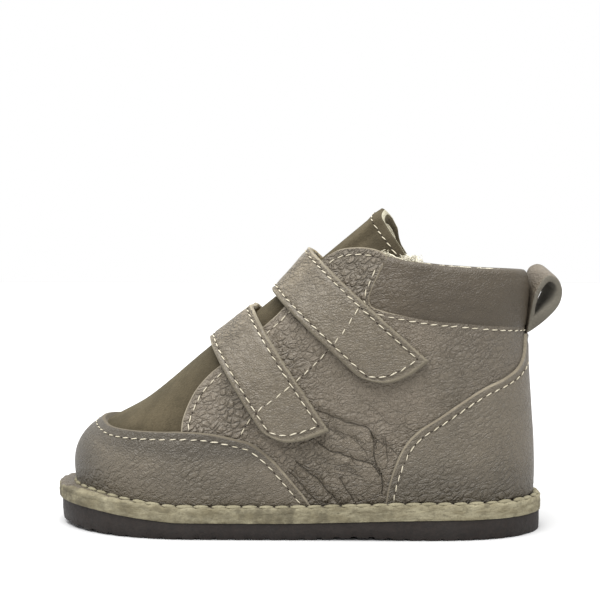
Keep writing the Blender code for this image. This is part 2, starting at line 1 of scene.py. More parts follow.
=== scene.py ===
# %% [markdown]
# # Dressing a fur-lined toddler boot
# The frame is a plain solid of every piece of the boot.  This lesson lays leather, suede, rubber, fleece
# and thread over it.  The panels of toe cap, heel counter, quarters and collar are first cut as a flat
# pattern, as a shoemaker would cut them, and are then pulled over the last, so their edges, seams and
# creases can be placed in the boot's own millimetres.

# %% Load the frame
import math

import bmesh
import bpy
import numpy as np
from mathutils import Matrix, Vector, noise


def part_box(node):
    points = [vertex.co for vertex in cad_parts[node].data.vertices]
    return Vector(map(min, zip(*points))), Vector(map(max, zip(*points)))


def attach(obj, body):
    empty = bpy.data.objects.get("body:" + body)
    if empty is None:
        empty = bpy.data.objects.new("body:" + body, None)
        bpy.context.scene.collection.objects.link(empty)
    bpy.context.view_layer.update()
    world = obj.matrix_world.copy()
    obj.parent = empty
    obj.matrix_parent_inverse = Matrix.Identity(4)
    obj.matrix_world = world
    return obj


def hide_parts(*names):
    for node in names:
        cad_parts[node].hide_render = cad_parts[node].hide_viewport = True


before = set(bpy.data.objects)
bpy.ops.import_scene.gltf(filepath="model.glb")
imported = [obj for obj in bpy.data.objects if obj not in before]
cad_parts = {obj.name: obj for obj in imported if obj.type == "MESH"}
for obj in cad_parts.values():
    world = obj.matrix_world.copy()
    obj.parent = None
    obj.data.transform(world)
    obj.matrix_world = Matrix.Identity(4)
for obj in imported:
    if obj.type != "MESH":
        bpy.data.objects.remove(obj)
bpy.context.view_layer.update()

MM = 0.001
print("solids in the frame:", len(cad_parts))

# %% [markdown]
# ## The last
# The upper was pulled over a wooden last.  The same few sections that drive the solids drive the leather
# here: a row is one cut across the foot, and a smooth line runs through each column.  The solids could be
# measured instead, but a formula gives a height and a direction at any place, which every later step
# needs.  The tables have their own origin, so the heel of the sole and the middle of the pull loop tell how
# far the frame lies from it.

# %% Sections of the last, in millimetres
SECTION_COLUMNS = ("x", "outer", "inner", "spine", "ridge", "crown")
SECTIONS = (
    (74.0, 22.6, 22.4, 0.0, 147.0, 17.0),
    (55.0, 22.8, 22.4, 0.0, 131.4, 17.0),
    (30.0, 24.0, 23.0, 0.0, 110.8, 17.5),
    (8.0, 25.2, 24.6, 0.4, 92.6, 18.0),
    (-12.0, 26.8, 27.6, 0.8, 76.1, 20.0),
    (-32.0, 28.0, 29.6, 1.0, 60.3, 25.0),
    (-46.0, 28.6, 29.6, 1.2, 49.0, 36.0),
    (-58.0, 28.4, 29.0, 1.6, 41.9, 58.0),
    (-70.0, 28.0, 28.4, 2.4, 38.6, 66.0),
    (-80.0, 28.0, 28.0, 3.0, 37.6, 60.0),
)
# Each pair in the lines below is a place along the line and the value there.
BACK = ((0.0, 72.9), (8.0, 73.3), (17.0, 73.1), (29.0, 72.3), (42.0, 71.7), (54.0, 71.3), (75.0, 70.4),
        (100.0, 70.0))
COLLAR_TOP = ((0.0, 86.0), (6.0, 88.0), (13.0, 91.0), (20.0, 91.4), (26.0, 89.9), (34.0, 88.2), (47.0, 86.6),
              (60.0, 85.8), (76.0, 85.2))
THROAT = ((0.0, 16.5), (48.0, 16.5), (62.0, 13.0), (80.0, 9.0))
BASE_Z = 10.2
HEEL_WEDGE, WEDGE_FROM, WEDGE_RUN = 1.2, -10.0, 55.0
TOE_CLIMB = ((-90.0, 3.7), (-78.0, 3.3), (-69.0, 2.7), (-60.0, 1.8), (-51.0, 0.9), (-38.0, 0.0), (80.0, 0.0))
TOE_X, TOE_START, TOE_ROUND = -78.2, -36.0, 2.0
HEEL_START, HEEL_ROUND = 36.0, 2.7
TUCK_HEIGHT, TUCK_SHARE, TUCK_ENDS = 15.0, 0.05, 1.3
FLANGE_SIDE, FLANGE_TOE, FLANGE_HEEL = 4.9, 8.2, 5.0
print("sections of the last:", len(SECTIONS))

# %% Smooth lines through the tables


def through(xs, ys):
    """A smooth line through points that doesn't overshoot them."""
    order = np.argsort(xs)
    xs = np.asarray(xs, float)[order]
    ys = np.asarray(ys, float)[order]
    step = np.diff(xs)
    slope = np.diff(ys) / step
    tangent = np.concatenate([slope[:1], np.zeros(len(xs) - 2), slope[-1:]])
    for i in range(1, len(xs) - 1):
        if slope[i - 1] * slope[i] > 0:
            near = 2 * step[i] + step[i - 1]
            far = step[i] + 2 * step[i - 1]
            tangent[i] = (near + far) / (near / slope[i - 1] + far / slope[i])

    def value(x):
        x = np.clip(x, xs[0], xs[-1])
        i = np.clip(np.searchsorted(xs, x) - 1, 0, len(step) - 1)
        t = (x - xs[i]) / step[i]
        rise = ys[i] * (1 + 2 * t) * (1 - t) ** 2 + ys[i + 1] * t * t * (3 - 2 * t)
        return rise + step[i] * t * (1 - t) * (tangent[i] * (1 - t) - tangent[i + 1] * t)

    return value


def ease(t):
    t = np.clip(t, 0.0, 1.0)
    return t * t * (3 - 2 * t)


def table_line(rows):
    return through([row[0] for row in rows], [row[1] for row in rows])


section = {name: [row[i] for row in SECTIONS] for i, name in enumerate(SECTION_COLUMNS)}
outer_of, inner_of, spine_of, ridge_of, crown_of = (
    through(section["x"], section[name]) for name in SECTION_COLUMNS[1:])
back_of, collar_of, throat_of, climb_of = (table_line(rows) for rows in (BACK, COLLAR_TOP, THROAT, TOE_CLIMB))
heel_of_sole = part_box("midsole")[1].x / MM
loop_low, loop_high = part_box("pull_loop")
SHIFT = np.array([heel_of_sole - BACK[0][1] - FLANGE_HEEL, (loop_low.y + loop_high.y) / 2 / MM, 0.0])
print("the tables' origin lies at", SHIFT.round(2), "mm in the frame")

# %% [markdown]
# ## The skin of the last
# Seen from the toe, each section of the last is a rounded arch, and at toe and heel the arches close.  One
# formula says how much room is left at any place: it is 1 on the spine and 0 on the skin.  Its square root
# gives the half width, its slope gives the direction out of the skin, and halving steps find where it
# reaches zero.  A sculpted mesh would look the same, but it has no exact point at a wanted height.

# %% The skin of the last


def flange_top(x):
    return BASE_Z + climb_of(x) + HEEL_WEDGE * ease((x - WEDGE_FROM) / WEDGE_RUN)


def toe_at(up):
    return TOE_X + TUCK_ENDS * np.maximum(0.0, 1 - up / TUCK_HEIGHT) ** 2


def crown_at(x):
    """Height of the ridge above the flange, and how square the arch below it is."""
    height = ridge_of(x) - flange_top(x)
    return height, 2 * crown_of(x) * height / (outer_of(x) * inner_of(x))


def toe_closing(x, tip):
    return (np.maximum(0.0, TOE_START - x) / (TOE_START - tip)) ** TOE_ROUND


def room_at(x, up):
    """1 on the spine at the flange, 0 where the last closes at toe, heel or instep."""
    height, power = crown_at(x)
    heel = (np.maximum(0.0, x - HEEL_START) / (back_of(up) - HEEL_START)) ** HEEL_ROUND
    return 1 - (np.maximum(up, 0.0) / height) ** power - toe_closing(x, toe_at(up)) - heel


def width_at(x, up, side):
    tuck = 1 - TUCK_SHARE * np.maximum(0.0, 1 - np.maximum(up, 0.0) / TUCK_HEIGHT) ** 2
    return np.where(side < 0, outer_of(x), inner_of(x)) * tuck


def skin_y(x, up, side):
    return spine_of(x) + side * width_at(x, up, side) * np.sqrt(np.maximum(0.0, room_at(x, up)))


def level_set(x, y, z):
    up = z - flange_top(x)
    across = y - spine_of(x)
    return (across / width_at(x, up, np.where(across < 0, -1, 1))) ** 2 - room_at(x, up)


def normal_at(points, h=0.05):
    """Outward directions of the skin, from how fast the last closes along each axis."""
    x, y, z = np.asarray(points, float).T
    n = np.column_stack([
        level_set(x + h, y, z) - level_set(x - h, y, z),
        level_set(x, y + h, z) - level_set(x, y - h, z),
        level_set(x, y, z + h) - level_set(x, y, z - h),
    ])
    return n / np.maximum(np.linalg.norm(n, axis=1), 1e-9)[:, None]


HALVINGS = 44


def halved(low, high, inside):
    """Where a condition changes between low and high."""
    for _ in range(HALVINGS):
        middle = (low + high) / 2
        within = inside(middle)
        high = np.where(within, middle, high)
        low = np.where(within, low, middle)
    return high


LAST_TOP, LAST_ROWS, ANKLE_X = 104.0, 209, 45.0
up_steps = np.linspace(0.0, LAST_TOP, LAST_ROWS)
front_of = through(up_steps, halved(toe_at(up_steps), np.full(LAST_ROWS, ANKLE_X),
                                    lambda x: room_at(x, up_steps) > 0))


def skin(turn, up, side):
    """Points of the skin: turn 0 runs down the front of the boot and 1 down the back of the heel."""
    front, back = front_of(up), back_of(up)
    x = front + (back - front) * (1 - np.cos(np.pi * turn)) / 2
    end = (turn < 1e-6) | (turn > 1 - 1e-6)
    y = np.where(end, spine_of(x), skin_y(x, up, side))
    return np.column_stack([x, y, flange_top(x) + up])


print("the last closes at x =", front_of(0.0).round(1), "at the toe and", back_of(0.0), "at the heel")

# %% [markdown]
# ## Flat patterns
# A leather panel is cut flat.  Here the flat sheet's two directions are millimetres round the boot, counted
# from the toe or from the back seam, and millimetres above the flange.  Tables of lengths round the skin at
# many heights turn one into the other.  Unwrapping could flatten a finished mesh, but here the flat pattern
# comes first, so that an edge or a seam can be drawn in true millimetres.

# %% Lengths round the skin
SHARES = 361
share_steps = np.linspace(0.0, 1.0, SHARES)
run_table, turn_table, length_of = {}, {}, {}


def run_along(line):
    """Lengths along a line from its start to each of its points."""
    return np.concatenate([[0.0], np.cumsum(np.linalg.norm(np.diff(line, axis=0), axis=1))])


for side in (-1, 1):
    runs, turns, lengths = [], [], []
    for up in up_steps:
        run = run_along(skin(share_steps, np.full(SHARES, up), side)[:, :2])
        lengths.append(run[-1])
        runs.append(run / run[-1])
        turns.append(np.interp(share_steps, run / run[-1], share_steps))
    run_table[side] = np.array(runs)
    turn_table[side] = np.array(turns)
    length_of[side] = through(up_steps, lengths)
print("round the flange:", round(float(length_of[-1](0.0) + length_of[1](0.0))), "mm")

# %% Between the flat sheet and the skin


def from_table(table, up, along):
    row = np.clip(np.asarray(up) / (up_steps[1] - up_steps[0]), 0, len(up_steps) - 1.001)
    col = np.clip(np.asarray(along) * (table.shape[1] - 1), 0, table.shape[1] - 1.001)
    r, c = row.astype(int), col.astype(int)
    fr, fc = row - r, col - c
    low = table[r, c] * (1 - fc) + table[r, c + 1] * fc
    high = table[r + 1, c] * (1 - fc) + table[r + 1, c + 1] * fc
    return low * (1 - fr) + high * fr


def pulled_over(flat, middle):
    """Flat points to the skin: millimetres from toe or back seam, minus on the outer side, and up."""
    p, up = np.asarray(flat, float)[:, :2].T
    points = np.zeros((len(p), 3))
    for side in (-1, 1):
        here = (p < 0) if side < 0 else (p >= 0)
        share = np.clip(np.abs(p[here]) / length_of[side](up[here]), 0.0, 1.0)
        if middle == "heel":
            share = 1 - share
        turn = from_table(turn_table[side], up[here], share)
        points[here] = skin(turn, up[here], side)
    return points


def laid_flat(line, side, middle):
    """A line seen from the side, as x and z, laid flat."""
    x, z = np.asarray(line, float).T
    up = z - flange_top(x)
    front, back = front_of(up), back_of(up)
    turn = np.arccos(np.clip(1 - 2 * (x - front) / (back - front), -1, 1)) / np.pi
    share = from_table(run_table[side], up, turn)
    if middle == "heel":
        share = 1 - share
    return np.column_stack([side * share * length_of[side](up), up])


print("the back seam lies 20 mm up at", pulled_over([(0.0, 20.0)], "heel")[0].round(1))

# %% Lines on the flat sheet


def curved(points, steps=6):
    """A line with rounded corners through hand-placed points."""
    points = [np.array(p, float) for p in points]
    line = []
    for i in range(len(points) - 1):
        a, b = points[i], points[i + 1]
        before, after = points[max(i - 1, 0)], points[min(i + 2, len(points) - 1)]
        for t in np.arange(steps) / steps:
            line.append(0.5 * (2 * a + (b - before) * t + (2 * before - 5 * a + 4 * b - after) * t * t
                               + (3 * a - before - 3 * b + after) * t ** 3))
    return np.array(line + [points[-1]])


def unit(vectors):
    return vectors / np.linalg.norm(vectors, axis=1)[:, None]


def moved_left(line, distance):
    along = unit(np.gradient(np.asarray(line, float), axis=0))
    return line + distance * np.column_stack([-along[:, 1], along[:, 0]])


def at_lengths(line, run, places):
    """Points of a line at given lengths along it."""
    return np.column_stack([np.interp(places, run, line[:, k]) for k in range(line.shape[1])])


def spaced(line, step):
    """The same line with points at even lengths, about a step apart."""
    line = np.asarray(line, float)
    run = run_along(line)
    count = max(2, int(round(run[-1] / step)) + 1)
    return at_lengths(line, run, np.linspace(0.0, run[-1], count))


def from_line(points, line):
    """Distance of flat points from a line of straight pieces."""
    points = np.asarray(points, float)[:, :2]
    nearest = np.full(len(points), 1e9)
    for a, b in zip(line[:-1, :2], line[1:, :2]):
        along = b - a
        t = np.clip(((points - a) @ along) / max(along @ along, 1e-12), 0.0, 1.0)
        nearest = np.minimum(nearest, np.linalg.norm(points - a - t[:, None] * along, axis=1))
    return nearest


print("a line curved through 3 points has", len(curved([(0, 0), (1, 1), (2, 0)])), "points")

# %% [markdown]
# ## Cutting a sheet
# A panel is cut with one sharp knife, so its edge is a clean line with the raw fibre showing.  The outline
# becomes one face, and its border is inset twice: the outer band is the raw edge, and the inner one lets
# the edge round over.  `bisect_plane` then cuts the sheet into small squares, so the mesh follows the
# outline exactly and can still bend.  Filling the outline with triangles is quicker, but long triangles
# bend badly.  Extruding the sheet before it is pulled over the last gives it its thickness.

# %% Cutting a sheet into squares
CUT_EDGE = 0.5
EDGE_ROLL = 0.5
FACE_LOOK, EDGE_LOOK, BACK_LOOK = 0, 1, 2
SAME_POINT = 1e-5


def cut_sheet(outline, cell):
    """A closed flat sheet: z 1 on its face and 0 on its back, with two bands along its cut edge."""
    bm = bmesh.new()
    face = bm.faces.new([bm.verts.new((p, q, 0.0)) for p, q in outline])
    if face.normal.z < 0:
        face.normal_flip()
    face.normal_update()
    for look, width in ((EDGE_LOOK, CUT_EDGE), (FACE_LOOK, EDGE_ROLL)):
        ring = bmesh.ops.inset_region(bm, faces=[face], thickness=width, use_boundary=True)
        for band_face in ring["faces"]:
            band_face.material_index = look
    low, high = np.min(outline, axis=0), np.max(outline, axis=0)
    for axis, across in enumerate((Vector((1, 0, 0)), Vector((0, 1, 0)))):
        for spot in np.arange(low[axis] + cell / 2, high[axis], cell):
            bmesh.ops.bisect_plane(bm, geom=bm.verts[:] + bm.edges[:] + bm.faces[:], dist=SAME_POINT,
                                   plane_co=across * spot, plane_no=across)
    raised = bmesh.ops.extrude_face_region(bm, geom=bm.faces[:], use_keep_orig=False)["geom"]
    bmesh.ops.translate(bm, verts=[v for v in raised if isinstance(v, bmesh.types.BMVert)], vec=(0, 0, 1))
    for side_face in bm.faces:
        heights = [v.co.z for v in side_face.verts]
        if max(heights) - min(heights) > 0.5:
            side_face.material_index = EDGE_LOOK
        elif max(heights) < 0.5:
            side_face.material_index = BACK_LOOK
    return bm


def flat_points(bm):
    return np.array([v.co[:] for v in bm.verts], float)


def place(bm, points):
    """Moves the vertices to points given in the tables' millimetres."""
    for v, p in zip(bm.verts, (np.asarray(points, float) + SHIFT) * MM):
        v.co = p


def vertex_points(bm):
    """The vertices in the tables' millimetres."""
    return np.array([v.co[:] for v in bm.verts], float) / MM - SHIFT


def face_middles(bm):
    """Middles of the faces in the tables' millimetres."""
    return np.array([f.calc_center_median()[:] for f in bm.faces], float) / MM - SHIFT


print("a cut edge is", CUT_EDGE, "mm wide")

# %% [markdown]
# ## Keeping a piece
# Every finished piece is one mesh at the origin, with its place in its vertices.  Its normals point out,
# its edges over 50 degrees stay crisp, and it rides on the frame's only body, because leather has no
# joints.  A modifier could smooth it as well, but here the mesh itself is finished, just as it is seen.

# %% Keeping a piece
CRISP = math.radians(50)


def show(name, mesh, looks):
    """Puts a mesh into the scene as a smooth piece of the boot."""
    mesh.polygons.foreach_set("use_smooth", [True] * len(mesh.polygons))
    piece = bpy.data.objects.new(name, mesh)
    for look in looks:
        mesh.materials.append(look)
    bpy.context.scene.collection.objects.link(piece)
    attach(piece, "root")
    mesh.calc_loop_triangles()
    print(f"{name}: {len(mesh.loop_triangles)} triangles")
    return piece


def turn_outwards(bm):
    """Turns all faces outwards, also on a curved thin shell, where the operator alone can guess wrong."""
    bmesh.ops.recalc_face_normals(bm, faces=bm.faces)
    if bm.calc_volume(signed=True) < 0:
        bmesh.ops.reverse_faces(bm, faces=bm.faces)


def keep_piece(name, bm, looks, nodes=(), marks=None):
    """A finished bmesh as a piece that replaces nodes of the frame, with values painted on its vertices."""
    turn_outwards(bm)
    for layer in bm.verts.layers.float.keys():
        bm.verts.layers.float.remove(bm.verts.layers.float[layer])
    mesh = bpy.data.meshes.new(name)
    bm.to_mesh(mesh)
    bm.free()
    for mark, values in (marks or {}).items():
        mesh.attributes.new(mark, "FLOAT", "POINT").data.foreach_set("value", np.asarray(values, np.float32))
    piece = show(name, mesh, looks)
    mesh.set_sharp_from_angle(angle=CRISP)
    if nodes:
        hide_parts(*nodes)
    return piece


# %% [markdown]
# ## Joining shader nodes
# A material is a small network: textures give numbers, maths nodes mix them, and the Principled shader
# turns them into a surface.  The nodes can be joined by hand in the editor.  Short helpers do it here,
# because a look can then be read from top to bottom, like a recipe.

# %% Small helpers for shader nodes


def new_look(name):
    look = bpy.data.materials.new(name)
    look.use_nodes = True
    return look, look.node_tree, look.node_tree.nodes["Principled BSDF"]


def feed(tree, node, inputs):
    """Joins each input to a socket, or sets its value."""
    for key, value in inputs.items():
        if isinstance(value, bpy.types.NodeSocket):
            tree.links.new(value, node.inputs[key])
        else:
            node.inputs[key].default_value = value


def add(tree, kind, inputs=None, **settings):
    made = tree.nodes.new(kind)
    for key, value in settings.items():
        setattr(made, key, value)
    feed(tree, made, inputs or {})
    return made


def maths(tree, operation, *values):
    return add(tree, "ShaderNodeMath", dict(enumerate(values)), operation=operation).outputs[0]


def stepped(tree, value, low, high, to_low=0.0, to_high=1.0):
    spans = {"Value": value, "From Min": low, "From Max": high, "To Min": to_low, "To Max": to_high}
    return add(tree, "ShaderNodeMapRange", spans, interpolation_type="SMOOTHSTEP").outputs["Result"]


def mixed(tree, share, a, b):
    return add(tree, "ShaderNodeMix", {0: share, 6: a, 7: b}, data_type="RGBA").outputs[2]


def painted(tree, mark):
    return add(tree, "ShaderNodeAttribute", attribute_name=mark).outputs["Fac"]


print("looks so far:", len(bpy.data.materials))

# %% Textures and colours


def object_place(tree):
    return add(tree, "ShaderNodeTexCoord").outputs["Object"]


def noise_at(tree, vector, scale, detail=2.0, roughness=0.5):
    sizes = {"Vector": vector, "Scale": scale, "Detail": detail, "Roughness": roughness}
    return add(tree, "ShaderNodeTexNoise", sizes).outputs["Fac"]


def cells_at(tree, vector, scale, feature="DISTANCE_TO_EDGE"):
    sizes = {"Vector": vector, "Scale": scale}
    return add(tree, "ShaderNodeTexVoronoi", sizes, feature=feature).outputs["Distance"]


def bumped(tree, shader, height, distance):
    made = add(tree, "ShaderNodeBump", {"Height": height, "Distance": distance, "Strength": 1.0})
    tree.links.new(made.outputs["Normal"], shader.inputs["Normal"])


def from_srgb(*rgb):
    """A colour as the eye sees it, 0 to 255, as the light that the shader wants."""
    share = np.array(rgb) / 255.0
    light = np.where(share <= 0.04045, share / 12.92, ((share + 0.055) / 1.055) ** 2.4)
    return (*light.tolist(), 1.0)


def darker(colour, share):
    return tuple(share * c for c in colour[:3]) + (1.0,)


print("a middle grey sends back", round(from_srgb(128, 128, 128)[0], 2), "of the light")

# %% [markdown]
# ## Tumbled leather
# Tumbled leather is a net of small pillows with fine creases between them.  A Voronoi texture gives the
# net: its distance to the nearest edge is low in the creases.  Bending the coordinates with noise first
# keeps the pillows from looking like cells.  A picture of leather would be quicker, but it would repeat and
# could not follow the boot.  Values painted on the mesh say where the look changes: `grain` where the hide
# was not stretched smooth, `crease_shade` and `fold_near` in the folds, `worn` among wrinkles, and
# `tone_and_shade` where it is darker.  The darkening between the pillows, in the folds and in the wrinkles is
# painted shade, and
# `tone_and_shade` is mostly painted shade as well.

# %% Pillows and wrinkles of the leather
PILLOW = 0.0019
WRINKLE = 0.0042
WRINKLE_LEAN, WRINKLE_PULL = (0.0, 0.55, 0.0), (0.55, 1.0, 1.25)


def bent_by_noise(tree, here):
    """Coordinates pushed about by up to a pillow's width."""
    drift = add(tree, "ShaderNodeTexNoise", {"Vector": here, "Scale": 0.45 / PILLOW, "Detail": 3.0})
    bend = add(tree, "ShaderNodeVectorMath", {0: drift.outputs["Color"], 1: (0.5, 0.5, 0.5)},
               operation="SUBTRACT")
    far = add(tree, "ShaderNodeVectorMath", {0: bend.outputs[0], "Scale": PILLOW * 1.8}, operation="SCALE")
    return add(tree, "ShaderNodeVectorMath", {0: here, 1: far.outputs[0]}, operation="ADD").outputs[0]


def pillows(tree, bent, lie, pull):
    """1 on the tops of the pillows and 0 in the creases between them."""
    pulled = add(tree, "ShaderNodeMapping", {"Vector": bent, "Rotation": (0.0, lie, 0.0), "Scale": pull},
                 vector_type="TEXTURE").outputs[0]
    rim = stepped(tree, cells_at(tree, pulled, 1 / PILLOW), 0.0, 0.22)
    round_top = stepped(tree, cells_at(tree, pulled, 1 / PILLOW, "F1"), 0.75, 0.05)
    return maths(tree, "MULTIPLY", maths(tree, "ADD", round_top, rim), 0.5)


def wrinkles(tree, bent):
    """Long cracks where the hide is worn."""
    turned = add(tree, "ShaderNodeMapping", {"Vector": bent, "Rotation": WRINKLE_LEAN, "Scale": WRINKLE_PULL})
    crack = stepped(tree, cells_at(tree, turned.outputs[0], 1 / WRINKLE), 0.09, 0.0)
    return maths(tree, "MULTIPLY", crack, painted(tree, "worn"))


print("pillows are about", PILLOW / MM, "mm wide")

# %% Tumbled leather
LEATHER_SHINE, COAT_ROUGH = 0.42, 0.35


def leather(name, colour, dark, depth=0.0011, roughness=0.48, lie=-0.58, pull=(1.5, 1.0, 0.85), coat=0.0):
    """Tumbled leather, with its pillows drawn out by pull along a line turned by lie."""
    look, tree, shader = new_look(name)
    colour, dark = from_srgb(*colour), from_srgb(*dark)
    here = object_place(tree)
    bent = bent_by_noise(tree, here)
    pillow = pillows(tree, bent, lie, pull)
    small = stepped(tree, cells_at(tree, bent, 2.3 / PILLOW), 0.0, 0.3)
    patchy = stepped(tree, noise_at(tree, here, 60.0, 3.0), 0.36, 0.66, 0.4, 1.0)
    grain = maths(tree, "MULTIPLY", painted(tree, "grain"), patchy)
    wrinkle = wrinkles(tree, bent)
    fine = noise_at(tree, here, 2600.0, 3.0, 0.6)
    fold_away = maths(tree, "ABSOLUTE", painted(tree, "fold_side"))
    fold = maths(tree, "MULTIPLY", stepped(tree, fold_away, 0.27, 0.02), painted(tree, "fold_near"))
    height = maths(tree, "MULTIPLY", pillow, grain)
    for relief, share in ((small, 0.16), (fine, 0.12), (wrinkle, -0.3), (fold, -0.8)):
        height = maths(tree, "MULTIPLY_ADD", relief, share, height)
    bumped(tree, shader, height, depth)
    cloud = stepped(tree, noise_at(tree, here, 38.0, 4.0, 0.55), 0.3, 0.7, 0.0, 0.8)
    # `tone_and_shade` darkens the colour; on most pieces it is painted shade.
    body = mixed(tree, painted(tree, "tone_and_shade"), mixed(tree, cloud, colour, dark), darker(dark, 0.6))
    # Painted shade: the colour darkens between the pillows, along `crease_shade`, in the wrinkles and along
    # the folds, where shade falls.
    valley = maths(tree, "SUBTRACT", 1.0, pillow)
    shade = maths(tree, "MULTIPLY", valley, maths(tree, "MULTIPLY", grain, 0.34))
    for line, share in ((painted(tree, "crease_shade"), 0.6), (wrinkle, 0.22), (fold, 0.55)):
        shade = maths(tree, "MAXIMUM", shade, maths(tree, "MULTIPLY", line, share))
    rough = maths(tree, "MULTIPLY_ADD", maths(tree, "SUBTRACT", fine, 0.5), 0.25, roughness)
    feed(tree, shader, {"Base Color": mixed(tree, shade, body, darker(dark, 0.4)), "Roughness": rough,
                        "Specular IOR Level": LEATHER_SHINE, "Coat Weight": coat,
                        "Coat Roughness": COAT_ROUGH})
    return look


leather_taupe = leather("leather_tumbled", (104, 95, 82), (91, 83, 70))
leather_cap = leather("leather_cap", (96, 88, 75), (85, 78, 66), depth=0.0009, lie=-0.6, pull=(2.0, 1.0, 0.85))
leather_smooth = leather("leather_collar", (75, 66, 52), (66, 58, 46), depth=0.0006, roughness=0.52)
leather_strap = leather("leather_strap", (119, 109, 91), (107, 97, 80), roughness=0.43, lie=0.0,
                        pull=(2.2, 1.0, 0.6), coat=0.25)
print("each leather has", len(leather_taupe.node_tree.nodes), "nodes")

# %% [markdown]
# ## Suede, raw edges, wool and thread
# Suede, cut leather, wool and thread all end in loose fibres, so one recipe serves them: fine noise for the
# fibres over cloudy brush marks, no shine, and a soft sheen where the nap catches light from the side.
# Real hairs could be grown, but at this distance they only blur, and they would not be kept as a mesh.

# %% Looks with a nap
NAP_ROUGH, NAP_SHINE, SHEEN_ROUGH = 0.95, 0.15, 0.5


def napped(name, colour, dark, scale, depth, sheen, sheen_tint):
    """Fibres that stand up: fine noise over cloudy brush marks, and a soft sheen."""
    look, tree, shader = new_look(name)
    colour, dark = from_srgb(*colour), from_srgb(*dark)
    here = object_place(tree)
    cloud = stepped(tree, noise_at(tree, here, 70.0, 4.0, 0.6), 0.3, 0.7)
    fibre = noise_at(tree, here, scale, 4.0, 0.7)
    # Painted shade: `tone_and_shade` darkens the nap where the suede lies in shade.
    body = mixed(tree, painted(tree, "tone_and_shade"), mixed(tree, cloud, colour, dark), darker(dark, 0.6))
    speckle = maths(tree, "MULTIPLY", stepped(tree, fibre, 0.35, 0.7), 0.5)
    bumped(tree, shader, fibre, depth)
    feed(tree, shader, {"Base Color": mixed(tree, speckle, body, darker(dark, 0.72)), "Roughness": NAP_ROUGH,
                        "Specular IOR Level": NAP_SHINE, "Sheen Weight": sheen,
                        "Sheen Roughness": SHEEN_ROUGH, "Sheen Tint": from_srgb(*sheen_tint)})
    return look


RAW_TINT, WOOL_TINT = (220, 215, 200), (255, 250, 235)
suede = napped("suede_olive", (80, 72, 56), (55, 49, 37), 1500.0, 0.0004, 0.1, (200, 190, 150))
cut_edge = napped("cut_edge", (136, 128, 112), (108, 100, 86), 1500.0, 0.0003, 0.1, RAW_TINT)
tongue_edge = napped("tongue_edge", (182, 178, 158), (140, 134, 112), 1500.0, 0.0003, 0.1, RAW_TINT)
strap_edge = napped("strap_edge", (160, 152, 134), (126, 118, 102), 1500.0, 0.0005, 0.1, RAW_TINT)
loop_edge = napped("loop_edge", (122, 118, 107), (96, 92, 83), 1500.0, 0.0004, 0.1, RAW_TINT)
strap_back = napped("strap_back", (196, 178, 140), (170, 152, 116), 1500.0, 0.0003, 0.1, (220, 205, 170))
fleece = napped("fleece_cream", (238, 233, 215), (222, 215, 192), 900.0, 0.0009, 0.25, WOOL_TINT)
thread = napped("thread_cream", (202, 194, 175), (180, 172, 151), 2600.0, 0.0001, 0.1, WOOL_TINT)
sole_thread = napped("thread_sole", (140, 134, 112), (112, 106, 86), 1600.0, 0.0002, 0.1, (230, 225, 205))
needle_hole_shade = napped("needle_hole_shade", (58, 51, 44), (46, 40, 35), 900.0, 0.0001, 0.0, (255, 255, 255))
print("each nap has", len(suede.node_tree.nodes), "nodes")

# %% [markdown]
# ## Board and rubber
# The board under the upper is pressed leather fibre, cut through at the edge, so its layers show as streaks
# along the sole, with stains and frayed spots.  Noise that is squeezed upwards gives the streaks, where an
# even noise would look like stone.  The rubber is plain, dark and matte, with specks and pale scuffs.

# %% Board and rubber
LAYERS = (150.0, 150.0, 520.0)


def board_look(name):
    """Pressed leather board: layers that run along the edge, with stains and frayed spots."""
    look, tree, shader = new_look(name)
    here = object_place(tree)
    layers = add(tree, "ShaderNodeMapping", {"Vector": here, "Scale": LAYERS}).outputs[0]
    streak = noise_at(tree, layers, 1.0, 3.0, 0.6)
    stain = noise_at(tree, here, 280.0, 4.0, 0.65)
    fray = noise_at(tree, here, 1500.0, 3.0, 0.7)
    body = mixed(tree, stepped(tree, streak, 0.3, 0.68), from_srgb(139, 133, 111), from_srgb(112, 105, 84))
    # `tone_and_shade` makes the stains darker towards the toe and under the middle of the foot.
    patchy = maths(tree, "MULTIPLY", painted(tree, "tone_and_shade"), stepped(tree, stain, 0.36, 0.64, 0.4, 1.6))
    stains_and_tone = maths(tree, "MAXIMUM", patchy, stepped(tree, stain, 0.5, 0.68, 0.0, 0.6))
    spotted = mixed(tree, stains_and_tone, body, from_srgb(78, 73, 60))
    spotted = mixed(tree, stepped(tree, fray, 0.5, 0.72, 0.0, 0.45), spotted, from_srgb(86, 78, 60))
    bumped(tree, shader, maths(tree, "MULTIPLY_ADD", fray, 0.6, streak), 0.0004)
    feed(tree, shader, {"Base Color": spotted, "Roughness": 0.9, "Specular IOR Level": 0.2})
    return look


def rubber_look(name):
    look, tree, shader = new_look(name)
    here = object_place(tree)
    speck = noise_at(tree, here, 700.0, 4.0, 0.65)
    scuff = noise_at(tree, here, 90.0, 4.0, 0.6)
    body = mixed(tree, stepped(tree, speck, 0.35, 0.7), from_srgb(32, 25, 21), from_srgb(24, 19, 16))
    scuffed = mixed(tree, stepped(tree, scuff, 0.55, 0.78, 0.0, 0.5), body, from_srgb(44, 39, 37))
    bumped(tree, shader, speck, 0.0003)
    feed(tree, shader, {"Base Color": scuffed, "Roughness": stepped(tree, scuff, 0.3, 0.7, 0.6, 0.8),
                        "Specular IOR Level": 0.35})
    return look


board = board_look("board_pale")
rubber = rubber_look("rubber_brown")
print("looks:", len(bpy.data.materials))

